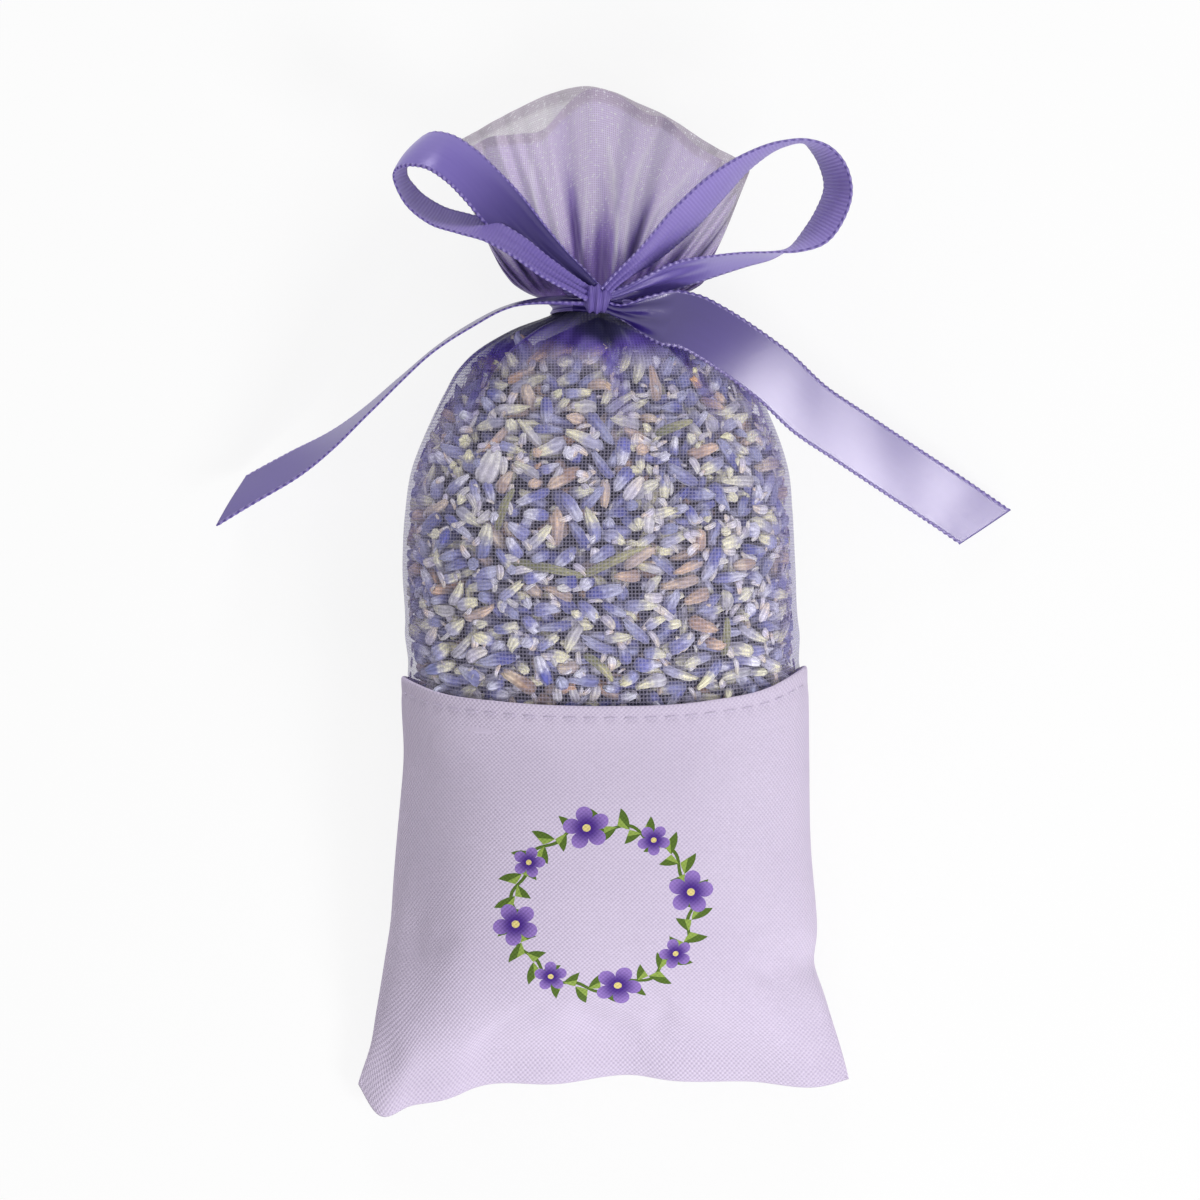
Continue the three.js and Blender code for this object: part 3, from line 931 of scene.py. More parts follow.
@dataclass(frozen=True)
class BagForm:
    """The filled bag's outer surface, which the cotton, the organza and the lavender share."""

    bottom: float = -45.5 * MM
    hem: float = 20.0 * MM
    chest: float = 54.0 * MM
    shoulder: float = 75.3 * MM
    collar: float = 86.2 * MM
    neck: float = 88.7 * MM
    tie: float = 91.0 * MM
    neck_end: float = 93.3 * MM
    neck_middle: float = -0.9 * MM
    neck_height: float = 15.0 * MM
    front_fullness: float = 2.2
    back_fullness: float = 2.6
    back_flattening: float = 1.08
    fill_rise: float = 15.0 * MM
    left_edge: Profile = Profile((
        (-0.0455, -0.0430), (-0.0395, -0.0414), (-0.0325, -0.0398), (-0.0186, -0.0376),
        (-0.0047, -0.0362), (0.0092, -0.0350), (0.0231, -0.0350), (0.0300, -0.0344),
        (0.0440, -0.0348), (0.0544, -0.0343), (0.0614, -0.0332), (0.0683, -0.0304),
        (0.0753, -0.0268), (0.0788, -0.0247), (0.0823, -0.0210), (0.0857, -0.0150),
        (0.0887, -0.0081), (0.0933, -0.0081),
    ))
    right_edge: Profile = Profile((
        (-0.0455, 0.0432), (-0.0395, 0.0417), (-0.0325, 0.0396), (-0.0256, 0.0377),
        (-0.0186, 0.0376), (-0.0047, 0.0364), (0.0092, 0.0360), (0.0231, 0.0353),
        (0.0300, 0.0341), (0.0440, 0.0334), (0.0544, 0.0329), (0.0614, 0.0322),
        (0.0683, 0.0300), (0.0753, 0.0265), (0.0788, 0.0240), (0.0823, 0.0200),
        (0.0857, 0.0135), (0.0887, 0.0063), (0.0933, 0.0063),
    ))
    seam: Profile = Profile((
        (-0.0455, 0.0045), (-0.0135, 0.0105), (0.0200, 0.0130), (0.0887, 0.0150), (0.0933, 0.0150),
    ))
    crown: Profile = Profile((
        (-0.0455, 0.0051), (-0.0395, 0.0109), (-0.0325, 0.0180), (-0.0135, 0.0290), (0.0200, 0.0340),
        (0.0540, 0.0365), (0.0753, 0.0310), (0.0862, 0.0245), (0.0887, 0.0215), (0.0933, 0.0215),
    ))
    depth: Profile = Profile((
        (-0.0455, 0.0006), (-0.0395, 0.0041), (-0.0325, 0.0070), (-0.0135, 0.0105), (0.0200, 0.0130),
        (0.0670, 0.0144), (0.0753, 0.0121), (0.0862, 0.0085), (0.0887, 0.0065), (0.0933, 0.0065),
    ))

    def sides(self, level: Array) -> tuple[Array, Array]:
        """Gives the bag's left and right edge at each level."""
        return self.left_edge(level), self.right_edge(level)

    def middle(self, level: Array) -> Array:
        """Gives the place midway across the bag at each level."""
        return (self.left_edge(level) + self.right_edge(level)) / 2

    def point(self, around: Array, level: Array, inset: Array | float = 0.0) -> Array:
        """Gives points of the surface.

        Args:
            around: Once round the bag from -1 to 1. The front's middle is 0 and the side seams are at 0.5.
            level: Place along the bag.
            inset: Distance inside the surface.

        Returns:
            One point for each place.
        """
        front, share = front_and_share(around)
        turn = np.abs(share) * math.pi / 2
        gathered = smoothstep(self.shoulder, self.neck, level)
        filled = smoothstep(self.bottom, self.bottom + self.fill_rise, level)
        back_fullness = self.front_fullness + (self.back_fullness - self.front_fullness) * filled
        fullness = np.where(front, self.front_fullness, back_fullness)
        fullness = fullness + (2.0 - fullness) * gathered
        reach = np.sign(share) * np.sin(turn) ** (2 / fullness)
        rise = np.abs(np.cos(turn)) ** (2 / fullness)
        left, right = self.sides(level)
        x = (left + right) / 2 + ((right - left) / 2 - inset) * reach
        seam = self.seam(level)
        top = seam + np.maximum(self.crown(level) - seam - inset, 0.0) * rise
        flattening = self.back_flattening + (1.0 - self.back_flattening) * gathered
        low = seam - np.maximum(self.depth(level) * flattening - inset, 0.0) * rise
        low = np.minimum(np.maximum(low, inset), seam)
        return np.stack([x, level, np.where(front, top, low)], axis=-1)

    def outward(self, points: Array) -> Array:
        """Gives the direction away from the bag's middle line in each point's own section.

        Args:
            points: Points of the bag.

        Returns:
            One unit vector for each point.
        """
        level = points[:, 1]
        aside = points[:, 0] - self.middle(level)
        away = np.stack([aside, np.zeros_like(level), points[:, 2] - self.seam(level)], axis=-1)
        return away / np.maximum(np.linalg.norm(away, axis=1, keepdims=True), 1e-6)


@dataclass
class CottonPouch:
    """The woven lower half: one cloth round the front and back, sewn at the sides and the bottom."""

    form: BagForm
    flat_width: float = 86.0 * MM
    flat_length: float = 74.0 * MM
    height: float = 66.5 * MM
    cloth: float = 0.4 * MM
    columns: int = 168
    rows: int = 66
    hem_fold: float = 0.9 * MM
    hem_roll: tuple[Pair, ...] = ((0.25, 0.22), (0.5, 0.0), (0.25, -0.5))
    hem_depth: float = 6.0 * MM
    stitch_drop: float = 2.1 * MM
    stitch_length: float = 2.3 * MM
    stitch_pitch: float = 3.5 * MM
    first_stitch: float = 1.4 * MM
    stitch_diameter: float = 0.36 * MM
    stitch_stand: float = 0.2
    stitch_rows: tuple[tuple[str, float, float], ...] = (("front", -0.47, 0.47), ("back", 0.53, 1.47))
    groove: float = 0.18 * MM
    groove_width: float = 0.008
    sewn_share: float = 0.03
    swell_cap: float = 2.6 * MM
    held_sides: float = 0.92
    free_from: Pair = (0.0, 0.16)
    held_from: Pair = (0.72, 0.97)
    pinned_from: float = 0.985
    sim_scale: float = 10.0
    sim_frames: int = 22
    hem_edge: Profile = Profile((
        (-1.0, 0.0044), (-0.85, 0.0024), (-0.5, 0.0007), (0.0, 0.0), (0.5, 0.0008), (0.85, 0.0034),
        (1.0, 0.0062),
    ))
    bottom_edge: Profile = Profile((
        (-1.0, -0.0011), (-0.93, -0.0063), (-0.78, -0.0050), (-0.62, -0.0037), (-0.53, -0.0019),
        (-0.19, -0.0012), (0.15, 0.0004), (0.23, -0.0003), (0.6, -0.0007), (0.9, -0.0015), (1.0, -0.0002),
    ))
    dents: tuple[tuple[float, float, float, float, float], ...] = (
        (-33.5 * MM, -18.6 * MM, 3.0 * MM, 5.0 * MM, 1.1 * MM),
        (-38.8 * MM, -41.0 * MM, 3.4 * MM, 4.4 * MM, 1.2 * MM),
        (35.5 * MM, -24.5 * MM, 2.6 * MM, 3.4 * MM, 0.9 * MM),
        (-32.0 * MM, 12.0 * MM, 3.0 * MM, 6.0 * MM, 0.6 * MM),
    )

    def _lofted(self, around: Array, along: Array) -> Array:
        """Gives the filled pouch's points before the cloth settles.

        Args:
            around: Places round the bag.
            along: Places along the cloth, 0 to 1.

        Returns:
            One point for each place.
        """
        points = self.form.point(around, self.form.bottom + self.height * along)
        level = points[:, 1]
        left, right = self.form.sides(level)
        reach = (points[:, 0] - (left + right) / 2) / ((right - left) / 2)
        seam = self.form.seam(level)
        sewn = smoothstep(0.0, self.sewn_share, along)
        points[:, 2] = seam + (points[:, 2] - seam) * sewn
        points[:, 1] += self.bottom_edge(reach) * (1 - along) ** 5 + self.hem_edge(reach) * along**4
        return points

    def _cut(self, around: Array, along: Array) -> Array:
        """Gives the same points on the flat cloth, front over back.

        Args:
            around: Places round the bag.
            along: Places along the cloth, 0 to 1.

        Returns:
            One point for each place.
        """
        front, share = front_and_share(around)
        half = self.flat_width / 2
        return np.stack([share * half, along * self.flat_length, np.where(front, 0.1, -0.1) * MM], axis=-1)

    def _settle(self, mesh: Mesh, cut: Array, pinned: list[int]) -> Array:
        """Blows the cloth up a little, so that it puckers where its flat cut has too much length.

        Args:
            mesh: The lofted pouch.
            cut: The flat place of each vertex.
            pinned: Vertices of the hem, which stay.

        Returns:
            The settled place of each vertex.
        """
        scene = bpy.context.scene
        scaled = mesh.copy()
        scaled.transform(Matrix.Scale(self.sim_scale, 4))
        rig = bpy.data.objects.new("pouch_rig", scaled)
        bpy.context.collection.objects.link(rig)
        rig.shape_key_add(name="Filled")
        key = rig.shape_key_add(name="Cut")
        key.data.foreach_set("co", (cut * self.sim_scale).astype(np.float32).ravel())
        rig.vertex_groups.new(name="hem").add(pinned, 1.0, "REPLACE")
        settings = rig.modifiers.new("Cloth", "CLOTH").settings
        settings.quality = 8
        settings.mass = 0.2
        settings.tension_stiffness = 25.0
        settings.compression_stiffness = 25.0
        settings.shear_stiffness = 8.0
        settings.bending_stiffness = 0.6
        settings.use_pressure = True
        settings.uniform_pressure_force = 6.0
        settings.vertex_group_mass = "hem"
        settings.rest_shape_key = key
        settings.effector_weights.gravity = 0.0
        for step in range(1, self.sim_frames + 1):
            scene.frame_set(step)
        settled = rig.evaluated_get(bpy.context.evaluated_depsgraph_get()).to_mesh()
        places = vertex_places(settled) / self.sim_scale
        rig.evaluated_get(bpy.context.evaluated_depsgraph_get()).to_mesh_clear()
        bpy.data.objects.remove(rig)
        scene.frame_set(1)
        return places

    def _pressed(self, places: Array, lofted: Array, along: Array) -> Array:
        """Caps how far the cloth has moved, adds its dents and keeps it on the table.

        Args:
            places: Settled places.
            lofted: Places before settling.
            along: Place along the cloth, 0 at the bottom and 1 at the hem.

        Returns:
            The finished places.
        """
        move = places - lofted
        far = np.linalg.norm(move, axis=1, keepdims=True)
        move *= np.tanh(far / self.swell_cap) * self.swell_cap / np.maximum(far, 1e-9)
        left, right = self.form.sides(lofted[:, 1])
        reach = np.clip(np.abs(2 * lofted[:, 0] - left - right) / (right - left), 0.0, 1.0)
        free = (1 - self.held_sides * reach**4) * smoothstep(*self.free_from, along)
        free *= 1 - smoothstep(*self.held_from, along)
        pressed = lofted + move * free[:, None]
        out = self.form.outward(pressed)
        for x, y, wide, tall, deep in self.dents:
            near = hump(pressed[:, 0], x, wide) * hump(pressed[:, 1], y, tall)
            pressed -= out * (near * deep * smoothstep(2 * MM, 9 * MM, pressed[:, 2]))[:, None]
        groove = hump(along, 1 - self.stitch_drop / self.flat_length, self.groove_width)
        pressed -= out * (groove * self.groove)[:, None]
        pressed[:, 2] = np.maximum(pressed[:, 2], 0.0)
        return pressed

    def _fold_hem(self, bm: BMesh, rim: list[BMEdge]) -> None:
        """Folds the cloth's upper edge inwards in a small roll.

        Args:
            bm: The pouch.
            rim: Its open edges.
        """
        layer = bm.loops.layers.uv.active
        for inward, rise in (*self.hem_roll, (0.0, -self.hem_depth / self.hem_fold)):
            made = bmesh.ops.extrude_edge_only(bm, edges=rim)["geom"]
            verts = [item for item in made if isinstance(item, BMVert)]
            places = np.array([vert.co for vert in verts])
            move = -self.form.outward(places) * inward * self.hem_fold
            move[:, 1] += rise * self.hem_fold
            for vert, step in zip(verts, move):
                vert.co += Vector(step)
            rim = [item for item in made if isinstance(item, BMEdge)]
            for face in {face for vert in verts for face in vert.link_faces}:
                for loop in face.loops:
                    if loop[layer].uv.length_squared == 0.0:
                        loop[layer].uv = (loop.vert.co.x, self.flat_length + loop.vert.co.z)

    def _stitch_line(self, mesh: Mesh, low: float, high: float) -> BMesh:
        """Lays topstitches on the cloth between two places round the bag.

        Args:
            mesh: The finished pouch.
            low: Place round the bag where the row starts.
            high: Place where it ends.

        Returns:
            The stitches.
        """
        surface = BVHTree.FromPolygons([v.co for v in mesh.vertices], [p.vertices for p in mesh.polygons])
        around = np.linspace(low, high, 900)
        along = np.full_like(around, 1 - self.stitch_drop / self.flat_length)
        guesses = stitch_ends(
            self._lofted(around, along), self.first_stitch, self.stitch_length, self.stitch_pitch
        )
        bm = bmesh.new()
        for pair in guesses:
            ends = []
            for guess in pair:
                spot, normal, _, _ = surface.find_nearest(Vector(guess))
                ends.append(np.array(spot + normal * self.stitch_diameter * self.stitch_stand))
                ends[-1][2] = max(ends[-1][2], self.stitch_diameter / 2)
            add_pill(bm, *ends, self.stitch_diameter)
        return bm

    def build(self) -> list[Object]:
        """Makes the pouch and its topstitches.

        Returns:
            The new pieces.
        """
        flat = (2 * self.flat_width, self.flat_length)
        bm = grid_surface(self.columns, self.rows, flat, self._lofted)
        around, along = grid_places(bm)
        lofted = np.array([vert.co for vert in bm.verts])
        mesh = bpy.data.meshes.new("pouch_loft")
        bm.to_mesh(mesh)
        settled = lofted
        pinned = [int(index) for index in np.nonzero(along > self.pinned_from)[0]]
        settled = self._settle(mesh, self._cut(around, along), pinned)
        for vert, place in zip(bm.verts, self._pressed(settled, lofted, along)):
            vert.co = place
        bpy.data.meshes.remove(mesh)
        bmesh.ops.smooth_vert(
            bm, verts=[v for v in bm.verts if not v.is_boundary], factor=0.3,
            use_axis_x=True, use_axis_y=True, use_axis_z=True,
        )
        self._fold_hem(bm, [edge for edge in bm.edges if edge.is_boundary])
        pouch = make_piece("cotton_pouch", bm, Slot.COTTON, CottonFinish().material())
        shell = pouch.modifiers.new("Cloth thickness", "SOLIDIFY")
        shell.thickness = self.cloth
        shell.offset = -1.0
        finer = pouch.modifiers.new("Smooth cloth", "SUBSURF")
        finer.levels = finer.render_levels = 1
        apply_modifiers(pouch)
        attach(pouch, Body.BAG.value)
        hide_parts("cloth_front", "cloth_back")
        thread = ThreadFinish().material()
        pieces = [pouch]
        for name, low, high in self.stitch_rows:
            wrapped = self._stitch_line(pouch.data, low, high)
            row = make_piece(f"hem_topstitch_{name}", wrapped, Slot.THREAD, thread)
            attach(row, Body.BAG.value)
            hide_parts(f"hem_stitch_{name}")
            pieces.append(row)
        return pieces


@dataclass
class OrganzaTop:
    """The sheer upper half of the bag, tucked inside the hem and gathered at the neck."""

    form: BagForm
    flat_width: float = 86.0 * MM
    flat_length: float = 86.0 * MM
    tuck: float = 1.15 * MM
    overlap: float = 4.5 * MM
    hem_rise: float = 4.5 * MM
    seam_band: float = 9.0 * MM
    columns: int = 264
    rows: int = 96
    gathers: tuple[tuple[int, float, float], ...] = (
        (7, 0.55, 0.4), (12, 0.5, 1.9), (19, 0.35, 4.1), (31, 0.16, 2.6),
    )
    gather_depth: float = 1.25 * MM
    row_crowding: float = 1.25

    def _level(self, along: Array) -> Array:
        """Gives the place along the bag of each row, crowded towards the neck."""
        start = self.form.hem - self.overlap
        return self.form.neck_end + (start - self.form.neck_end) * (1 - along) ** self.row_crowding

    def _folds(self, around: Array, level: Array) -> Array:
        """Gives how far the gathers stand out.

        Args:
            around: Places round the bag.
            level: Places along the bag.

        Returns:
            The gathers' heights, between about -1 and 1.
        """
        total = np.zeros_like(around)
        for count, height, phase in self.gathers:
            drift = 0.5 * np.sin(level * 90.0 + count)
            total += height * np.cos(math.tau * count * (around + 1) / 2 + phase + drift)
        return total

    def _surface(self, around: Array, along: Array) -> Array:
        """Gives the organza's points.

        Args:
            around: Places round the bag.
            along: Places along the cloth, 0 to 1.

        Returns:
            One point for each place.
        """
        level = self._level(along)
        tucked = self.tuck * (1 - smoothstep(self.form.hem + 3 * MM, self.form.hem + 10 * MM, level))
        points = self.form.point(around, level, tucked)
        grow = smoothstep(self.form.chest - 4 * MM, self.form.collar, level)
        fall = 1 - 0.7 * smoothstep(self.form.collar, self.form.neck, level)
        depth = self.gather_depth * grow**1.6 * fall
        points += self.form.outward(points) * (self._folds(around, level) * depth)[:, None]
        lift = 1 - smoothstep(self.form.hem + 2 * MM, self.form.hem + 34 * MM, level)
        _, share = front_and_share(around)
        points[:, 1] += self.hem_rise * share**2 * lift
        points[:, 2] = np.maximum(points[:, 2], 0.05 * MM)
        return points

    def build(self) -> list[Object]:
        """Makes the organza.

        Returns:
            The new pieces.
        """
        flat = (2 * self.flat_width, self.flat_length)
        bm = grid_surface(self.columns, self.rows, flat, self._surface)
        around, along = grid_places(bm)
        # Valleys of the gather folds, which take painted shade.
        fold_valley_shade = smoothstep(0.1, 1.0, -self._folds(around, self._level(along)))
        top = make_piece("organza_top", bm, Slot.ORGANZA, OrganzaFinish("sheer_lilac_organza").material())
        points = vertex_places(top.data)
        level = points[:, 1]
        left, right = self.form.sides(level)
        from_seam = np.minimum(points[:, 0] - left, right - points[:, 0])
        seam = (1 - smoothstep(0.0, self.seam_band, from_seam)) ** 1.6
        neck = smoothstep(self.form.shoulder + 1 * MM, self.form.collar + 1 * MM, level)
        # A painted shadow under the knot, which also makes the organza there denser.
        knot_shadow = hump(points[:, 0], 0.5 * MM, 6.5 * MM) * hump(level, 86.0 * MM, 3.6 * MM)
        knot_shadow *= points[:, 2] > self.form.neck_height
        folds = fold_valley_shade * smoothstep(self.form.shoulder - 16 * MM, self.form.shoulder + 4 * MM, level)
        folds *= 1 - 0.7 * neck
        # The depth attribute is painted shade: darker near the side seams and towards the neck, partly from
        # the denser cloth there and partly painted shade, and in the gather folds and under the knot.
        depth = 0.42 * seam + 0.58 * neck + 0.4 * folds + 0.5 * knot_shadow
        set_attribute(top.data, "veil", 0.24 * seam + 0.58 * neck + 0.24 * folds + 0.3 * knot_shadow)
        set_attribute(top.data, "depth", np.clip(depth, 0.0, 1.0))
        set_attribute(top.data, "warmth", np.zeros(len(points)))
        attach(top, Body.BAG.value)
        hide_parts("organza_front", "organza_back")
        return [top]


class Herb(Enum):
    """Kinds of dried bits in the bag."""

    BLUE = "blue_lavender_buds"
    CREAM = "cream_lavender_buds"
    TAN = "tan_lavender_buds"
    PETAL = "lavender_petals"
    STEM = "lavender_stems"


@dataclass
class Lavender:
    """Dried lavender: a core coloured as painted shade of the fill's inside, with layers of single buds and
    bits of stem up against the cloth.
    """

    form: BagForm
    seed: int = 20377
    core_inset: float = 4.9 * MM
    core_start: float = -36.5 * MM
    core_end: float = 88.0 * MM
    core_grid: tuple[int, int] = (96, 72)
    core_girth: float = 160.0 * MM
    stamp_grid: tuple[int, int] = (7, 7)
    bluntness: float = 0.62
    narrowing: float = 0.16
    bed_start: float = 15.5 * MM
    bed_end: float = 82.5 * MM
    layers: tuple[tuple[float, int, float], ...] = (
        (1.4 * MM, 16000, 0.76), (2.7 * MM, 9000, 0.74), (4.0 * MM, 6000, 0.74),
    )
    bud_length: Pair = (3.6 * MM, 7.0 * MM)
    bud_width: Pair = (1.7 * MM, 2.7 * MM)
    tip_dip: float = 0.16
    end_on: float = 0.12
    end_on_dip: Pair = (0.6, 1.3)
    bud_bend: float = 0.035
    bud_taper: Pair = (-0.28, 0.2)
    bud_marks: int = 5
    most_marks: int = 20000
    ragged: Triple = (0.06, 0.06, 0.05)
    ragged_tip: float = 0.12
    hem_room: float = 2.0 * MM
    gather_room: float = 1.6 * MM
    seam_room: float = 0.7 * MM
    hem_rise: float = 6.0 * MM
    mix: Pair = (0.44, 0.86)
    table_gap: float = 0.2 * MM
    edge_gap: float = 0.7 * MM
    skin_gap: float = 0.3 * MM
    skin_bend: float = 18.0 * MM
    half_width: float = 34.0 * MM
    bit_depth: float = 0.9 * MM
    bit_thickness: float = 0.7 * MM
    bit_bend: float = 0.05
    petals: int = 1300
    petal_depth: Pair = (0.5 * MM, 1.4 * MM)
    petal_length: Pair = (1.2 * MM, 3.4 * MM)
    petal_thickness: float = 0.35 * MM
    petal_tilt: float = 0.35
    petal_bend: float = 0.08
    stem_width: float = 1.7 * MM
    front_stems: tuple[tuple[float, float, float, float], ...] = (
        (-9.0 * MM, 44.8 * MM, -0.2, 15.0 * MM),
        (3.0 * MM, 46.2 * MM, 0.42, 14.0 * MM),
        (14.5 * MM, 69.0 * MM, 0.35, 7.5 * MM),
        (-0.5 * MM, 28.0 * MM, -0.75, 7.0 * MM),
        (-17.0 * MM, 55.0 * MM, 1.2, 8.0 * MM),
        (22.0 * MM, 33.0 * MM, 1.5, 7.0 * MM),
    )
    front_petals: tuple[tuple[float, float, float, float, float], ...] = (
        (-20.5 * MM, 62.3 * MM, 1.2, 6.5 * MM, 4.6 * MM),
        (6.2 * MM, 58.5 * MM, 0.9, 5.2 * MM, 2.4 * MM),
        (9.0 * MM, 53.0 * MM, 1.4, 4.6 * MM, 2.2 * MM),
        (-22.0 * MM, 30.0 * MM, 0.4, 4.4 * MM, 2.4 * MM),
        (-30.0 * MM, 33.0 * MM, 0.8, 4.0 * MM, 2.4 * MM),
        (29.0 * MM, 37.0 * MM, 1.0, 4.0 * MM, 2.2 * MM),
    )

    def _core_surface(self, around: Array, along: Array) -> Array:
        """Gives the core's points, drawn to a tip at both ends.

        Args:
            around: Places round the bag.
            along: Places along the core, 0 to 1.

        Returns:
            One point for each place.
        """
        level = self.core_start + (self.core_end - self.core_start) * along
        points = self.form.point(around, level, self.core_inset)
        round_end = np.sqrt(np.clip(1 - (2 * along - 1) ** 12, 0.0, 1.0))
        centre = np.stack([self.form.middle(level), level, self.form.seam(level)], axis=-1)
        return centre + (points - centre) * round_end[:, None]

    def _frames(self, around: Array, level: Array, depth: Array | float) -> tuple[Array, ...]:
        """Gives spots in the bed and their directions across, along and out of the bag.

        Args:
            around: Places round the bag.
            level: Places along the bag.
            depth: Depth under the organza.

        Returns:
            The spots, then the three unit directions at each.
        """
        spot = self.form.point(around, level, depth)
        across = unit(self.form.point(around + 0.01, level, depth) - spot)
        along = self.form.point(around, level + 0.5 * MM, depth) - spot
        along = unit(along - across * np.sum(along * across, axis=1, keepdims=True))
        return spot, across, along, np.cross(across, along)

    def _sunk(self, around: Array, level: Array) -> Array:
        """Gives how much deeper a bit lies under the folded hem, the gathers and the side seams.

        Args:
            around: Places round the bag.
            level: Places along the bag.

        Returns:
            One depth for each place.
        """
        share = np.abs(front_and_share(around)[1])
        edge = self.form.hem + 1 * MM + self.hem_rise * share**3
        hem = self.hem_room * (1 - smoothstep(0.0, 6 * MM, level - edge))
        gathers = self.gather_room * smoothstep(60 * MM, 84 * MM, level)
        return hem + gathers + self.seam_room * smoothstep(0.72, 1.0, share)

    def _stamp(self, segments: int, rings: int) -> Mesh:
        """Makes one blunt bud along Z, 2 units long and wide, with its map and a place for its paint.

        Args:
            segments: Faces round it.
            rings: Faces along it.

        Returns:
            The bud.
        """
        bm = bmesh.new()
        bm.loops.layers.uv.new(CLOTH_MAP)
        bmesh.ops.create_uvsphere(bm, u_segments=segments, v_segments=rings, radius=1.0, calc_uvs=True)
        for vert in bm.verts:
            ring = math.hypot(vert.co.x, vert.co.y)
            if ring > 1e-6:
                blunt = ring**self.bluntness * (1 - self.narrowing * vert.co.z)
                vert.co.x *= blunt / ring
                vert.co.y *= blunt / ring
        stamp = bpy.data.meshes.new("bud_stamp")
        bm.to_mesh(stamp)
        bm.free()
        stamp.attributes.new("bud_paint", "FLOAT_COLOR", "POINT")
        return stamp

    def _press(
        self, heap: BMesh, stamp: Mesh, points: Array, paint: Array, bed: tuple[Array, Array, float]
    ) -> None:
        """Presses one copy of the stamp into a heap, flat where it meets the organza.

        Args:
            heap: The bmesh that gets it.
            stamp: The stamp.
            points: The copy's points.
            paint: Tone, place along and lightness of each point.
            bed: Its spot, the way out of the bag there, and its depth under the organza.
        """
        spot, out, depth = bed
        height = (points - spot) @ out
        beside = np.sum((points - spot) ** 2, axis=1) - height**2
        room = depth - self.skin_gap - beside / (2 * self.skin_bend)
        points = points - np.maximum(height - room, 0.0)[:, None] * out
        left, right = self.form.sides(points[:, 1])
        points[:, 0] = np.clip(points[:, 0], left + self.edge_gap, right - self.edge_gap)
        points[:, 2] = np.maximum(points[:, 2], self.table_gap)
        stamp.vertices.foreach_set("co", points.astype(np.float32).ravel())
        colours = np.ones((len(points), 4), dtype=np.float32)
        colours[:, :3] = paint
        stamp.attributes["bud_paint"].data.foreach_set("color", colours.ravel())
        heap.from_mesh(stamp)

    def _shaped(self, shape: Array, size: Triple, bend: float) -> Array:
        """Sizes the stamp's points and bends them a little sideways.

        Args:
            shape: The stamp's own points.
            size: Width, thickness and length.
            bend: How far the ends curve, as a share of the length.

        Returns:
            The sized points.
        """
        sized = shape * np.array(size) / 2
        sized[:, 0] += bend * size[2] * (shape[:, 2] ** 2 - 0.3)
        return sized

    def _paint(self, shape: Array, tone: float, light: float) -> Array:
        """Gives each point of a stamp its tone, its place along and its lightness."""
        return np.stack(np.broadcast_arrays(tone, (shape[:, 2] + 1) / 2, light), axis=1)

    def _lay_bits(self, heaps: dict[Herb, BMesh], stamp: Mesh, draw: np.random.Generator) -> Array:
        """Lays the stems and petals up against the organza.

        Args:
            heaps: One bmesh for each kind.
            stamp: The stamp.
            draw: The random numbers.

        Returns:
            Points along the stems and the large petals, where no bud may lie.
        """
        shape = vertex_places(stamp)
        bits = [(Herb.STEM, x, y, turn, length, self.stem_width) for x, y, turn, length in self.front_stems]
        bits += [(Herb.PETAL, *petal) for petal in self.front_petals]
        kept = []
        for herb, x, level, turn, length, width in bits:
            around = math.asin(min(1.0, abs(x) / self.half_width) ** 1.1) / math.pi * math.copysign(1.0, x)
            places = self._frames(np.array([around]), np.array([level]), self.bit_depth)
            spot, across, along, out = (row[0] for row in places)
            run = math.cos(turn) * across + math.sin(turn) * along
            axes = np.stack([np.cross(run, out), out, run])
            size = (width, self.bit_thickness, length)
            points = spot + self._shaped(shape, size, draw.normal(0.0, self.bit_bend)) @ axes
            paint = self._paint(shape, *draw.random(2))
            self._press(heaps[herb], stamp, points, paint, (spot, out, self.bit_depth))
            kept.append(spot + np.linspace(-0.42, 0.42, 7)[:, None] * length * run)
        count = self.petals
        around = draw.uniform(-1.0, 1.0, count)
        level = draw.uniform(self.bed_start, self.bed_end, count)
        depth = draw.uniform(*self.petal_depth, count) + self._sunk(around, level)
        spots, across, along, out = self._frames(around, level, depth)
        turns = draw.uniform(0, math.tau, count)
        lengths = draw.uniform(*self.petal_length, count)
        tones = draw.random((count, 3))
        tilts = draw.normal(0.0, self.petal_tilt, count)
        for index in range(count):
            flat_run = math.cos(turns[index]) * across[index] + math.sin(turns[index]) * along[index]
            run = math.cos(tilts[index]) * flat_run + math.sin(tilts[index]) * out[index]
            side = unit(np.cross(run, out[index]))
            tone, light, broad = tones[index]
            size = (lengths[index] * (0.25 + 0.4 * broad), self.petal_thickness, lengths[index])
            axes = np.stack([side, np.cross(side, run), run])
            points = spots[index] + self._shaped(shape, size, self.petal_bend) @ axes
            bed = (spots[index], out[index], depth[index])
            self._press(heaps[Herb.PETAL], stamp, points, self._paint(shape, tone, light), bed)
        return np.concatenate(kept)

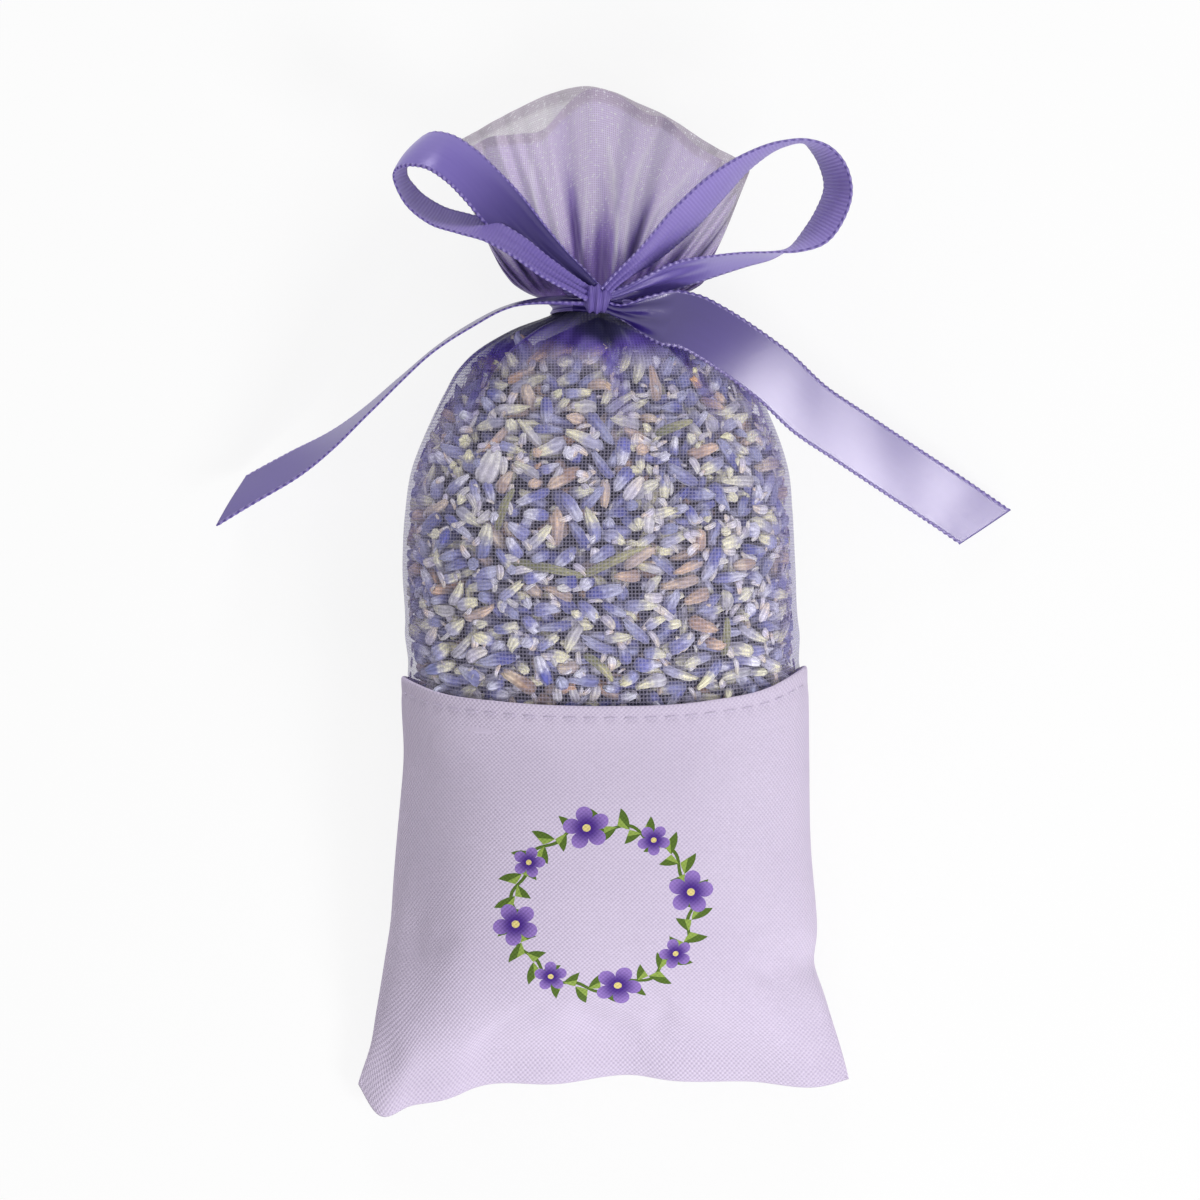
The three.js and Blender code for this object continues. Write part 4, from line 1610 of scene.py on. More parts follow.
    def _throw_buds(
        self, heaps: dict[Herb, BMesh], stamp: Mesh, draw: np.random.Generator, kept: Array
    ) -> None:
        """Throws buds at the bed layer by layer, and keeps those that don't lie in another.

        Args:
            heaps: One bmesh for each kind.
            stamp: The stamp.
            draw: The random numbers.
            kept: Points where no bud may lie.
        """
        shape = vertex_places(stamp)
        at_tip = smoothstep(0.3, 0.9, shape[:, 2])
        herbs = (Herb.BLUE, Herb.CREAM, Herb.TAN)
        offsets = np.linspace(-0.36, 0.36, self.bud_marks)
        taken = np.zeros((self.most_marks, 4))
        taken[:len(kept), :3] = kept
        taken[:len(kept), 3] = 0.2 * self.stem_width
        window = self.bud_length[1] + self.bud_width[1]
        for depth, tries, closeness in self.layers:
            used = len(kept)
            around = draw.uniform(-1.0, 1.0, tries)
            level = draw.uniform(self.bed_start, self.bed_end, tries)
            depths = depth + self._sunk(around, level)
            spots, across, along, out = self._frames(around, level, depths)
            lying = draw.normal(0.0, 0.5, tries) + math.pi * (draw.random(tries) < 0.5)
            settled = draw.random(tries) < 0.75 - 0.6 * smoothstep(30 * MM, 62 * MM, level)
            turns = np.where(settled, lying, draw.uniform(0, math.tau, tries))[:, None]
            upright = draw.random(tries) < self.end_on
            steep = draw.uniform(*self.end_on_dip, tries)
            dips = np.where(upright, steep, draw.normal(0.0, self.tip_dip, tries))[:, None]
            runs = np.cos(dips) * (np.cos(turns) * across + np.sin(turns) * along) + np.sin(dips) * out
            lengths = draw.uniform(*self.bud_length, tries)
            widths = draw.uniform(*self.bud_width, tries)
            bends = draw.normal(0.0, self.bud_bend, tries)
            paints = draw.random((tries, 3))
            tapers = draw.uniform(*self.bud_taper, tries)
            lines = spots[:, None] + offsets[None, :, None] * (lengths[:, None] * runs)[:, None]
            for index in range(tries):
                thick = closeness * widths[index] / 2
                beside = taken[:used][np.abs(taken[:used, :3] - spots[index]).max(axis=1) < window]
                gaps = np.linalg.norm(beside[None, :, :3] - lines[index][:, None], axis=2) - beside[:, 3]
                if gaps.size and gaps.min() < thick:
                    continue
                taken[used:used + self.bud_marks, :3] = lines[index]
                taken[used:used + self.bud_marks, 3] = thick
                used += self.bud_marks
                side = unit(np.cross(runs[index], out[index]))
                axes = np.stack([side, np.cross(side, runs[index]), runs[index]])
                size = (widths[index], 0.9 * widths[index], lengths[index])
                ragged = draw.normal(0.0, 1.0, shape.shape) * self.ragged
                ragged[:, 2] += draw.normal(0.0, self.ragged_tip, len(shape)) * at_tip
                uneven = shape + ragged
                uneven[:, :2] *= 1 + tapers[index] * shape[:, 2:]
                points = spots[index] + self._shaped(uneven, size, bends[index]) @ axes
                pick, tone, light = paints[index]
                herb = herbs[int(np.searchsorted(self.mix, pick))]
                bed = (spots[index], out[index], depths[index])
                self._press(heaps[herb], stamp, points, self._paint(shape, tone, light), bed)

    def _finishes(self) -> dict[Herb, tuple[Slot, BudFinish]]:
        """Gives each kind its slot and finish.

        Returns:
            One slot and finish for each kind.
        """
        blue = (srgb(88, 92, 176), srgb(150, 150, 200), srgb(166, 170, 218), srgb(230, 228, 240))
        cream = (srgb(134, 138, 200), srgb(212, 208, 214), srgb(254, 250, 228), srgb(240, 234, 196))
        tan = (srgb(210, 192, 186), srgb(174, 142, 128), srgb(244, 226, 208), srgb(216, 170, 136))
        petal = (srgb(246, 242, 248), srgb(214, 206, 228), srgb(254, 252, 250), srgb(236, 214, 196))
        stem = (srgb(122, 124, 88), srgb(152, 148, 110), srgb(166, 166, 122), srgb(192, 186, 142))
        return {
            Herb.BLUE: (Slot.BLUE_BUD, BudFinish(Herb.BLUE.value, *blue)),
            Herb.CREAM: (Slot.PALE_BUD, BudFinish(Herb.CREAM.value, *cream)),
            Herb.TAN: (Slot.PALE_BUD, BudFinish(Herb.TAN.value, *tan)),
            Herb.PETAL: (Slot.PALE_BUD, BudFinish(Herb.PETAL.value, *petal)),
            Herb.STEM: (Slot.STEM, BudFinish(Herb.STEM.value, *stem)),
        }

    def build(self) -> list[Object]:
        """Makes the core, the buds, the petals and the stems.

        Returns:
            The new pieces.
        """
        flat = (self.core_girth, self.core_end - self.core_start)
        core_mesh = grid_surface(*self.core_grid, flat, self._core_surface)
        core = make_piece("lavender_core", core_mesh, Slot.LAVENDER, ShadedChaffFinish().material())
        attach(core, Body.BAG.value)
        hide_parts("lavender_fill")
        draw = np.random.default_rng(self.seed)
        stamp = self._stamp(*self.stamp_grid)
        stamp_shape = vertex_places(stamp)
        heaps = {herb: bmesh.new() for herb in Herb}
        kept = self._lay_bits(heaps, stamp, draw)
        stamp.vertices.foreach_set("co", stamp_shape.astype(np.float32).ravel())
        self._throw_buds(heaps, stamp, draw, kept)
        bpy.data.meshes.remove(stamp)
        nodes = sorted(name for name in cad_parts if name.startswith("lavender_bud"))
        stood_for = {
            Herb.BLUE: [name for name in nodes if int(name[-2:]) % 3],
            Herb.CREAM: [name for name in nodes if not int(name[-2:]) % 3],
            Herb.STEM: sorted(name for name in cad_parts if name.startswith("stem_bit")),
        }
        pieces = [core]
        for herb, (slot, finish) in self._finishes().items():
            piece = make_piece(herb.value, heaps[herb], slot, finish.material())
            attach(piece, Body.BAG.value)
            if herb in stood_for:
                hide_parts(*stood_for[herb])
            pieces.append(piece)
        return pieces


@dataclass
class Frill:
    """The organza above the tie: two pleated leaves, open at their edge."""

    form: BagForm
    flat_width: float = 74.0 * MM
    flat_length: float = 38.0 * MM
    start: float = 90.2 * MM
    hinge: Triple = (-0.9 * MM, 93.6 * MM, 28.4 * MM)
    bend_length: float = 12.0 * MM
    hem_band: float = 1.8 * MM
    columns: int = 320
    rows: int = 72
    root_height: float = 6.3 * MM
    mouth_height: float = 9.0 * MM
    mouth_middle: float = 10.0 * MM
    pleats: tuple[Triple, ...] = (
        (8.0, 1.0, 0.6), (13.0, 0.6, 2.2), (5.0, 0.6, 4.4), (21.0, 0.4, 1.1),
    )
    pleat_depth: float = 1.5 * MM
    fan_root: float = 6.0 * MM
    fan_edge: float = 25.0 * MM
    creases: tuple[Triple, ...] = (
        (-0.56, 0.7, 0.03), (-0.34, 0.9, 0.025), (-0.12, 0.9, 0.02), (0.08, 1.3, 0.02), (0.27, 0.9, 0.02),
        (0.43, 0.8, 0.025), (0.6, 0.7, 0.03),
    )
    left_width: Profile = Profile((
        (0.0, 0.0070), (0.055, 0.0112), (0.12, 0.0142), (0.195, 0.0160), (0.34, 0.0182), (0.51, 0.0202),
        (0.70, 0.0226), (0.85, 0.0238), (1.0, 0.0236),
    ))
    right_width: Profile = Profile((
        (0.0, 0.0070), (0.05, 0.0132), (0.12, 0.0170), (0.30, 0.0194), (0.59, 0.0226), (0.83, 0.0248),
        (1.0, 0.0264),
    ))
    front_edge: Profile = Profile((
        (-1.0, 0.1162), (-0.84, 0.1188), (-0.6, 0.1197), (-0.38, 0.1208), (-0.25, 0.1243), (-0.07, 0.1274),
        (0.1, 0.1268), (0.26, 0.1243), (0.33, 0.1231), (0.43, 0.1226), (0.65, 0.1177), (1.0, 0.1132),
    ))
    back_edge: Profile = Profile((
        (-1.0, 0.1190), (-0.62, 0.1240), (-0.25, 0.1277), (-0.05, 0.1282), (0.125, 0.1271), (0.28, 0.1252),
        (0.46, 0.1230), (0.69, 0.1190), (1.0, 0.1145),
    ))

    def _fan(self, around: Array, along: Array) -> tuple[Array, Array]:
        """Spreads places out from the tie, as the pleats do.

        Args:
            around: Places round the frill.
            along: Places from the tie to the edge.

        Returns:
            Whether each place is on the front leaf, and how far it is turned aside, about -1 to 1.
        """
        front, share = front_and_share(around)
        half = np.where(share < 0, self.left_width(along), self.right_width(along))
        return front, share * half / (self.fan_root + (self.fan_edge - self.fan_root) * along)

    def _crests(self, around: Array, along: Array, shift: float = 0.0) -> Array:
        """Gives how near each place is to a sharp crease that runs out from the tie.

        Args:
            around: Places round the frill.
            along: Places from the tie to the edge.
            shift: How far beside the creases to look.

        Returns:
            The nearness, 0 to about 1.
        """
        front, fan = self._fan(around, along)
        crests = np.zeros_like(around)
        for place, height, width in self.creases:
            bent = place + 0.07 * np.sin(4.0 * along + 9.0 * place) + np.where(front, 0.0, 0.07) + shift
            end = along + 0.15 * np.sin(40.0 * place)
            fade = smoothstep(0.06, 0.25, along) * (1 - smoothstep(0.5, 1.0, end))
            crests += height * np.exp(-np.abs(fan - bent) / width) * fade
        return crests

    def _wave(self, around: Array, along: Array) -> Array:
        """Gives how far the pleats stand up.

        Args:
            around: Places round the frill.
            along: Places from the tie to the edge.

        Returns:
            The pleats' heights, between about -2 and 3.
        """
        front, fan = self._fan(around, along)
        wave = np.zeros_like(around)
        for count, height, phase in self.pleats:
            drift = 0.9 * np.sin(3.0 * along + count)
            wave += height * np.cos(math.pi * count * fan + phase + drift + np.where(front, 0.0, 1.3))
        return 0.85 * wave + self._crests(around, along)

    def _surface(self, around: Array, along: Array) -> Array:
        """Gives the frill's points.

        Args:
            around: Places round the frill.
            along: Places from the tie to the edge.

        Returns:
            One point for each place.
        """
        front, share = front_and_share(around)
        turn = share * math.pi / 2
        spread = np.sign(turn) * np.abs(np.sin(turn)) ** 0.9
        half = np.where(share < 0, self.left_width(along), self.right_width(along))
        x = self.form.neck_middle + half * spread
        edge = np.where(front, self.front_edge(spread), self.back_edge(spread))
        y = self.start + (edge - self.start) * along
        drop = smoothstep(0.0, 1.0, along)
        seam = self.form.neck_height + (self.mouth_middle - self.form.neck_height) * drop
        arch = self.root_height + (self.mouth_height / 2 - self.root_height) * drop
        arch = arch * np.cos(turn) ** 0.8
        wave = self._wave(around, along)
        grow = smoothstep(0.02, 0.3, along) * (1 - 0.25 * along)
        pleat = self.pleat_depth * wave * grow * np.cos(turn) ** 0.5
        z = seam + np.where(front, 1.0, -1.0) * np.maximum(arch, 0.4 * MM) + pleat
        return np.stack([x, y, np.maximum(z, 0.6 * MM)], axis=-1)

    def build(self) -> list[Object]:
        """Makes the frill.

        Returns:
            The new pieces.
        """
        flat = (2 * self.flat_width, self.flat_length)
        bm = grid_surface(self.columns, self.rows, flat, self._surface)
        grid_spots = grid_places(bm)
        along = grid_spots[1]
        under = np.array([vert.co.z for vert in bm.verts]) < self.form.neck_height - 3.5 * MM * along
        finish = OrganzaFinish(
            "gathered_lilac_organza", thread=srgb(205, 178, 237), warm=srgb(184, 166, 188),
            deep=srgb(120, 70, 188), hollow=srgb(84, 34, 146), thread_pitch=0.4 * MM, open_gap=0.40,
            thread_cover=0.26, glitter=1.0,
        )
        frill = make_piece("organza_frill", bm, Slot.ORGANZA, finish.material())
        wave, crests = self._wave(*grid_spots), self._crests(*grid_spots)
        # Painted shade at the frill's base by the tie, where it is also denser.
        root = 1 - smoothstep(0.05, 0.55, along + 0.1 * wave)
        # Painted shade beside each crease.
        flank_shade = np.clip(1.2 * self._crests(*grid_spots, shift=-0.07) - 0.5 * crests, 0.0, 1.0)
        flank_shade *= 1 - 0.7 * smoothstep(0.3, 0.75, along)
        # Painted shade in the pleats' valleys.
        valley_shade = smoothstep(0.2, 1.6, -wave)
        hem = self.hem_band / self.flat_length
        band = smoothstep(1 - 1.6 * hem, 1 - hem, along)
        # The depth attribute is painted shade.
        depth = 0.88 * root + (0.18 * valley_shade + 0.42 * flank_shade) * (1 - band)
        # A painted highlight along each crease.
        set_attribute(frill.data, "crest", np.clip(0.9 * crests, 0.0, 1.0))
        set_attribute(frill.data, "veil", 0.45 * root + 0.12 * flank_shade + 0.22 * band)
        set_attribute(frill.data, "depth", np.clip(depth, 0.0, 1.0))
        set_attribute(frill.data, "warmth", np.clip(0.9 * under + 0.8 * band, 0.0, 1.0))
        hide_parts("frill_front", "frill_back")
        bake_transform(frill)
        return [frill]


@dataclass(frozen=True)
class Stop:
    """A place on a ribbon's route, from the knot's middle: the way its width points, and how much shows."""

    at: Triple
    across: Triple
    pinch: float


@dataclass(frozen=True)
class Strip:
    """One free stretch of the ribbon."""

    name: str
    node: str
    body: Body
    parent: Body
    satin: SatinFace
    route: tuple[Stop, ...]
    cup: float
    end_slant: float = 0.0
    # The strip wears one lit or shaded copy of the satin; the span after it is where painted shade near the
    # knot fades out.
    finish: SatinLitCopy = SatinLitCopy.SOFT
    gather: Pair = (6.0 * MM, 24.0 * MM)


def ribbon_route(*rows: tuple[float, ...]) -> tuple[Stop, ...]:
    """Reads a ribbon's route from the knot.

    Args:
        rows: x, y and z from the knot's middle in mm, the way the width points, and how much of it shows.

    Returns:
        The route's stops.
    """
    return tuple(Stop((x * MM, y * MM, z * MM), tuple(side), shown) for x, y, z, *side, shown in rows)


LEFT_LOOP = ribbon_route(
    (-1.0, 1.6, -0.6, -0.6, -0.6, 0.3, 0.36),
    (-3.0, 3.2, -1.2, -0.62, -0.6, 0.28, 0.44),
    (-7.4, 6.8, -2.0, -0.64, -0.6, 0.28, 0.58),
    (-11.8, 10.8, -2.0, -0.64, -0.6, 0.36, 0.78),
    (-15.8, 15.1, -1.0, -0.6, -0.56, 0.52, 0.96),
    (-20.0, 19.8, 0.6, -0.57, -0.5, 0.62, 1),
    (-23.8, 23.4, 1.2, -0.5, -0.57, 0.65, 1),
    (-27.5, 25.6, 0.8, -0.42, -0.6, 0.68, 1),
    (-30.8, 26.0, -0.6, -0.36, -0.58, 0.73, 1),
    (-33.4, 24.6, -2.4, -0.28, -0.4, 0.87, 1),
    (-34.4, 21.4, -3.8, -0.2, -0.14, 0.97, 1),
    (-32.7, 18.0, -3.6, -0.2, -0.22, 0.95, 1),
    (-28.3, 14.4, -1.4, -0.2, -0.31, 0.93, 1),
    (-22.9, 12.6, 2.0, -0.2, -0.34, 0.92, 1),
    (-18.2, 11.2, 4.4, -0.18, -0.34, 0.92, 1),
    (-14.4, 9.1, 5.2, -0.2, -0.33, 0.92, 0.94),
    (-8.8, 5.0, 4.4, -0.24, -0.34, 0.9, 0.76),
    (-3.4, 1.7, 2.2, -0.35, -0.42, 0.84, 0.42),
    (-1.0, 0.4, 0.6, -0.45, -0.5, 0.74, 0.3),
)
RIGHT_LOOP = ribbon_route(
    (1.2, 1.2, 1.0, -0.4, 0.4, 0.8, 0.26),
    (2.8, 2.8, 1.4, -0.4, 0.4, 0.8, 0.3),
    (8.5, 7.2, 2.0, -0.4, 0.36, 0.84, 0.7),
    (15.0, 13.6, 2.2, -0.37, 0.34, 0.86, 1),
    (20.6, 19.1, 2.0, -0.28, 0.34, 0.9, 1),
    (26.4, 23.8, 1.4, -0.17, 0.18, 0.97, 1),
    (32.0, 26.5, 0.4, -0.06, 0.04, 1, 1),
    (35.6, 27.0, -0.6, 0.08, 0.0, 0.99, 1),
    (38.4, 25.4, -1.6, 0.26, 0.1, 0.96, 1),
    (40.3, 22.8, -2.1, 0.4, 0.08, 0.91, 1),
    (41.2, 19.2, -2.4, 0.46, -0.05, 0.88, 1),
    (39.8, 14.6, -2.2, 0.44, -0.2, 0.88, 1),
    (37.3, 11.1, -1.8, 0.33, -0.25, 0.91, 1),
    (33.8, 8.9, -1.3, 0.1, -0.1, 0.99, 1),
    (30.4, 7.9, -0.9, -0.02, 0.07, 0.99, 1),
    (25.4, 7.1, -0.5, -0.06, 0.21, 0.97, 1),
    (19.0, 5.7, -0.1, -0.06, 0.37, 0.93, 1),
    (13.5, 4.3, 0, -0.04, 0.47, 0.88, 0.92),
    (8.2, 2.5, -0.2, 0, 0.48, 0.88, 0.62),
    (3.0, 0.8, -0.4, 0, 0.5, 0.86, 0.26),
    (1.2, 0.3, -0.4, 0, 0.5, 0.86, 0.24),
)
LEFT_TAIL = ribbon_route(
    (-1.0, -0.2, -0.6, 0.1, -0.3, 0.9, 0.3),
    (-3.1, -0.2, -0.7, 0.1, -0.26, 0.94, 0.34),
    (-7.0, -0.1, -1.0, 0.06, -0.16, 0.98, 0.6),
    (-11.2, -0.4, -1.7, 0.03, -0.08, 0.99, 0.9),
    (-15.2, -1.2, -2.4, 0.02, -0.05, 1, 1),
    (-22.1, -4.6, -4.1, 0.03, -0.05, 1, 1),
    (-28.2, -8.6, -6.3, 0.03, -0.05, 1, 1),
    (-34.2, -13.8, -9.0, 0.04, -0.06, 1, 1),
    (-39.9, -19.0, -11.8, 0.07, -0.11, 0.99, 1),
    (-46.4, -24.4, -15.0, 0.15, -0.24, 0.96, 1),
    (-52.9, -28.6, -17.6, 0.22, -0.38, 0.9, 1),
    (-60.1, -32.7, -19.7, 0.25, -0.42, 0.87, 1),
    (-64.0, -35.0, -20.5, 0.25, -0.42, 0.87, 1),
)
RIGHT_TAIL = ribbon_route(
    (1.2, -1.2, -1.0, 0.1, 0.8, 0.6, 0.24),
    (2.8, -1.9, -1.0, 0.1, 0.8, 0.6, 0.26),
    (8.6, -2.8, -0.6, 0.2, 0.95, 0.12, 0.72),
    (12.5, -3.2, -0.5, 0.28, 0.94, -0.08, 1),
    (16.0, -3.9, -0.6, 0.36, 0.9, -0.17, 1),
    (19.7, -5.8, -1.1, 0.44, 0.87, -0.14, 1),
    (25.1, -9.3, -2.6, 0.53, 0.84, -0.05, 1),
    (30.5, -13.3, -4.9, 0.57, 0.82, 0, 1),
    (36.7, -19.0, -8.4, 0.57, 0.82, 0, 1),
    (43.7, -23.7, -12.0, 0.57, 0.82, 0, 1),
    (54.3, -30.7, -17.4, 0.57, 0.82, 0, 1),
    (60.9, -35.0, -20.7, 0.6, 0.8, 0, 1),
    (67.8, -39.7, -23.1, 0.6, 0.8, 0, 1),
)


@dataclass
class RibbonBow:
    """The satin ribbon: a turn round the neck, a knot, two loops and two tails."""

    form: BagForm
    width: float = 10.0 * MM
    thickness: float = 0.32 * MM
    knot: Triple = (-0.9 * MM, 91.0 * MM, 25.69 * MM)
    knot_size: Triple = (4.6 * MM, 4.8 * MM, 5.4 * MM)
    wrap_half_width: float = 7.9 * MM
    wrap_half_height: float = 7.2 * MM
    wrap_width: float = 4.6 * MM
    wrap_girth: float = 50.0 * MM
    wrap_grid: tuple[int, int] = (120, 20)
    wrap_crease: float = 0.35 * MM
    wrap_barrel: float = 0.5 * MM
    knot_grid: tuple[int, int] = (64, 44)
    knot_slant: float = 0.25 * MM
    folds: float = 2.5
    bead_pitch: float = 1.15 * MM
    bead_height: float = 0.1 * MM
    ripple: float = 0.05 * MM
    look_ahead: float = 0.2 * MM
    columns: int = 22
    row_pitch: float = 0.29 * MM
    bend_length: float = 16.0 * MM
    # Span over which painted shade on the wrap and the knot fades out.
    knot_gather: Pair = (6.0 * MM, 24.0 * MM)
    strips: tuple[Strip, ...] = (
        Strip(
            "ribbon_left_loop", "left_loop", Body.LEFT_LOOP, Body.FRILL, SatinFace.UNDER, LEFT_LOOP,
            cup=0.45 * MM, finish=SatinLitCopy.DEEP, gather=(15.0 * MM, 37.0 * MM),
        ),
        Strip(
            "ribbon_right_loop", "right_loop", Body.RIGHT_LOOP, Body.FRILL, SatinFace.LIFTED, RIGHT_LOOP,
            cup=0.45 * MM, finish=SatinLitCopy.PALE,
        ),
        Strip(
            "ribbon_left_tail", "left_tail", Body.LEFT_TAIL, Body.BAG, SatinFace.UNDER, LEFT_TAIL,
            cup=0.1 * MM, end_slant=4.4 * MM,
        ),
        Strip(
            "ribbon_right_tail", "right_tail", Body.RIGHT_TAIL, Body.BAG, SatinFace.UNDER, RIGHT_TAIL,
            cup=0.06 * MM, end_slant=1.9 * MM, finish=SatinLitCopy.BRIGHT,
        ),
    )

    def _lay(self, strip: Strip) -> tuple[Surface, float]:
        """Works out a strip's surface from its route.

        Args:
            strip: The strip.

        Returns:
            Its surface, and its length.
        """
        stops = np.array([stop.at for stop in strip.route]) + np.array(self.knot)
        marks = path_marks(stops)
        sides = unit(np.array([stop.across for stop in strip.route]))
        middle = [Profile(tuple(zip(marks, column))) for column in stops.T]
        reach = [Profile(tuple(zip(marks, column))) for column in sides.T]
        shown = Profile(tuple(zip(marks, [stop.pinch for stop in strip.route])))
        length = float(marks[-1])
        half = self.width / 2
        step = self.look_ahead

        def read(curves: list[Profile], place: Array) -> Array:
            """Reads one curve for each axis as points."""
            return np.stack([curve(place) for curve in curves], axis=-1)

        def surface(across: Array, along: Array) -> Array:
            """Gives the strip's points.

            Args:
                across: Places across the ribbon, -1 to 1.
                along: Places along it, 0 to 1.

            Returns:
                One point for each place.
            """
            slant = strip.end_slant * across * smoothstep(0.8, 1.0, along)
            place = along * length + slant
            over = np.maximum(place - length, 0.0)[:, None]
            behind = read(middle, np.clip(place - step, 0.0, length - step))
            ahead = read(middle, np.clip(place + step, step, length))
            run = unit(ahead - behind)
            side = unit(read(reach, place))
            lift = unit(np.cross(side, run))
            pinch = np.clip(shown(place), 0.2, 1.0)
            crease = 0.45 * np.sqrt(1 - pinch**2) * half / self.folds / 2
            fold = crease * np.cos(math.pi * self.folds * across + 0.6)
            fold += strip.cup * (across**2 - 0.33) * pinch
            fold += self.ripple * np.sin(place / MM * 0.3 + 1.5 * across) * pinch
            bead = self.bead_height * smoothstep(0.86, 1.0, np.abs(across))
            bead = bead * np.cos(math.tau * place / self.bead_pitch)
            stretch = half * pinch * across + np.sign(across) * bead
            return read(middle, place) + run * over + side * stretch[:, None] + lift * fold[:, None]

        return surface, length

    def _make_strip(self, strip: Strip, satin: Material, rib: Material) -> Object:
        """Makes one strip, with its smooth and its ribbed face.

        Args:
            strip: The strip.
            satin: Finish of the smooth face.
            rib: Finish of the ribbed face.

        Returns:
            The piece.
        """
        surface, length = self._lay(strip)
        rows = round(length / self.row_pitch)
        bm = grid_surface(self.columns, rows, (self.width, length), surface, closed=False)
        faces = (satin, rib) if strip.satin is SatinFace.LIFTED else (rib, satin)
        piece = make_piece(strip.name, bm, Slot.SATIN, *faces)
        shell = piece.modifiers.new("Ribbon thickness", "SOLIDIFY")
        shell.thickness = self.thickness
        shell.offset = 0.0
        shell.material_offset = 1
        apply_modifiers(piece)
        self._mark_gather(piece, strip.gather)
        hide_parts(strip.node)
        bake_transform(piece)
        return piece

    def _mark_gather(self, piece: Object, span: Pair) -> None:
        """Marks painted shade near the knot: full up to the span's start and gone by its end."""
        reach = np.linalg.norm(vertex_places(piece.data) - np.array(self.knot), axis=1)
        set_attribute(piece.data, "gather", 1 - smoothstep(*span, reach))

    def _wrap_surface(self, around: Array, along: Array) -> Array:
        """Gives the points of the turn round the neck, creased lengthways.

        Args:
            around: Places round it, -1 to 1.
            along: Places along it, 0 to 1.

        Returns:
            One point for each place.
        """
        angle = around * math.pi
        crease = self.wrap_crease * np.cos(along * math.pi * 5 + 0.6 * np.sin(2 * angle))
        barrel = self.wrap_barrel * (1 - (2 * along - 1) ** 2)
        grow = crease + barrel
        x = self.form.neck_middle + (self.wrap_half_width + grow) * np.sin(angle)
        z = self.form.neck_height + (self.wrap_half_height + grow) * np.cos(angle)
        y = self.form.tie + self.wrap_width * (along - 0.5) * (1 + 0.12 * np.sin(3 * angle))
        return np.stack([x, y, z], axis=-1)

    def _knot_surface(self, around: Array, along: Array) -> Array:
        """Gives the points of the knot: a small barrel across the bow, creased round its girth.

        Args:
            around: Places round it, -1 to 1.
            along: Places along it, 0 to 1.

        Returns:
            One point for each place.
        """
        angle = around * math.pi
        place = 2 * along - 1
        girth = (1 - np.abs(place) ** 3.2) ** 0.5
        crease = 1 + 0.1 * np.cos(place * math.pi * 3.4 + 0.5 * np.sin(angle))
        wide, long, high = self.knot_size
        x = self.knot[0] + wide / 2 * place
        y = self.knot[1] + long / 2 * girth * crease * np.sin(angle)
        z = self.knot[2] + high / 2 * girth * crease * np.cos(angle)
        return np.stack([x + self.knot_slant * np.sin(angle), y, z], axis=-1)

    def _satin_faces(self) -> dict[SatinLitCopy, Material]:
        """Makes the smooth face in each of its lit and shaded copies, which paint in light and shade.

        Returns:
            One material for each copy.
        """
        soft = RibbonFinish(
            "violet_satin_face", False, srgb(74, 55, 146), srgb(60, 42, 128), srgb(42, 27, 104),
            roughness=0.3, ior=2.15, gleam=srgb(232, 222, 255),
        )
        # A copy that gleams more: a painted highlight for the strip that faces the key light.
        bright = replace(
            soft, name="bright_satin_face", root=srgb(44, 24, 116), ior=2.22, gleam=srgb(255, 250, 255),
            float_relief=0.15,
        )
        # A copy with a lighter body and a much darker colour near the knot: painted light and painted shade
        # for the left loop.
        deep = replace(
            soft, name="deep_satin_face", colour=srgb(130, 115, 190), fold=srgb(112, 97, 176),
            root=srgb(28, 16, 84), ior=1.6,
        )
        # A lighter copy: painted light for the right loop's lower strand.
        pale = replace(
            soft, name="pale_satin_face", colour=srgb(128, 112, 190), fold=srgb(110, 94, 176),
            root=srgb(84, 68, 150),
        )
        return {
            SatinLitCopy.SOFT: soft.material(), SatinLitCopy.BRIGHT: bright.material(),
            SatinLitCopy.DEEP: deep.material(), SatinLitCopy.PALE: pale.material(),
        }

    def build(self) -> list[Object]:
        """Makes the ribbon's pieces.

        Returns:
            The new pieces.
        """
        faces = self._satin_faces()
        ribbed = RibbonFinish(
            "violet_ribbed_reverse", True, srgb(168, 152, 217), srgb(134, 116, 190), srgb(98, 80, 162),
            roughness=0.5, ior=1.5, gleam=srgb(240, 234, 255),
        )
        rib = ribbed.material()
        wrap_mesh = grid_surface(*self.wrap_grid, (self.wrap_girth, self.width), self._wrap_surface)
        wrap = make_piece("ribbon_wrap", wrap_mesh, Slot.SATIN, faces[SatinLitCopy.SOFT])
        shell = wrap.modifiers.new("Ribbon thickness", "SOLIDIFY")
        shell.thickness = self.thickness
        apply_modifiers(wrap)
        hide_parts("neck_wrap")
        knot_mesh = grid_surface(*self.knot_grid, (self.width, self.width), self._knot_surface)
        knot = make_piece("ribbon_knot", knot_mesh, Slot.SATIN, rib)
        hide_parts("bow_knot")
        for piece in (wrap, knot):
            self._mark_gather(piece, self.knot_gather)
            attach(piece, Body.BAG.value)
        return [wrap, knot, *(self._make_strip(strip, faces[strip.finish], rib) for strip in self.strips)]


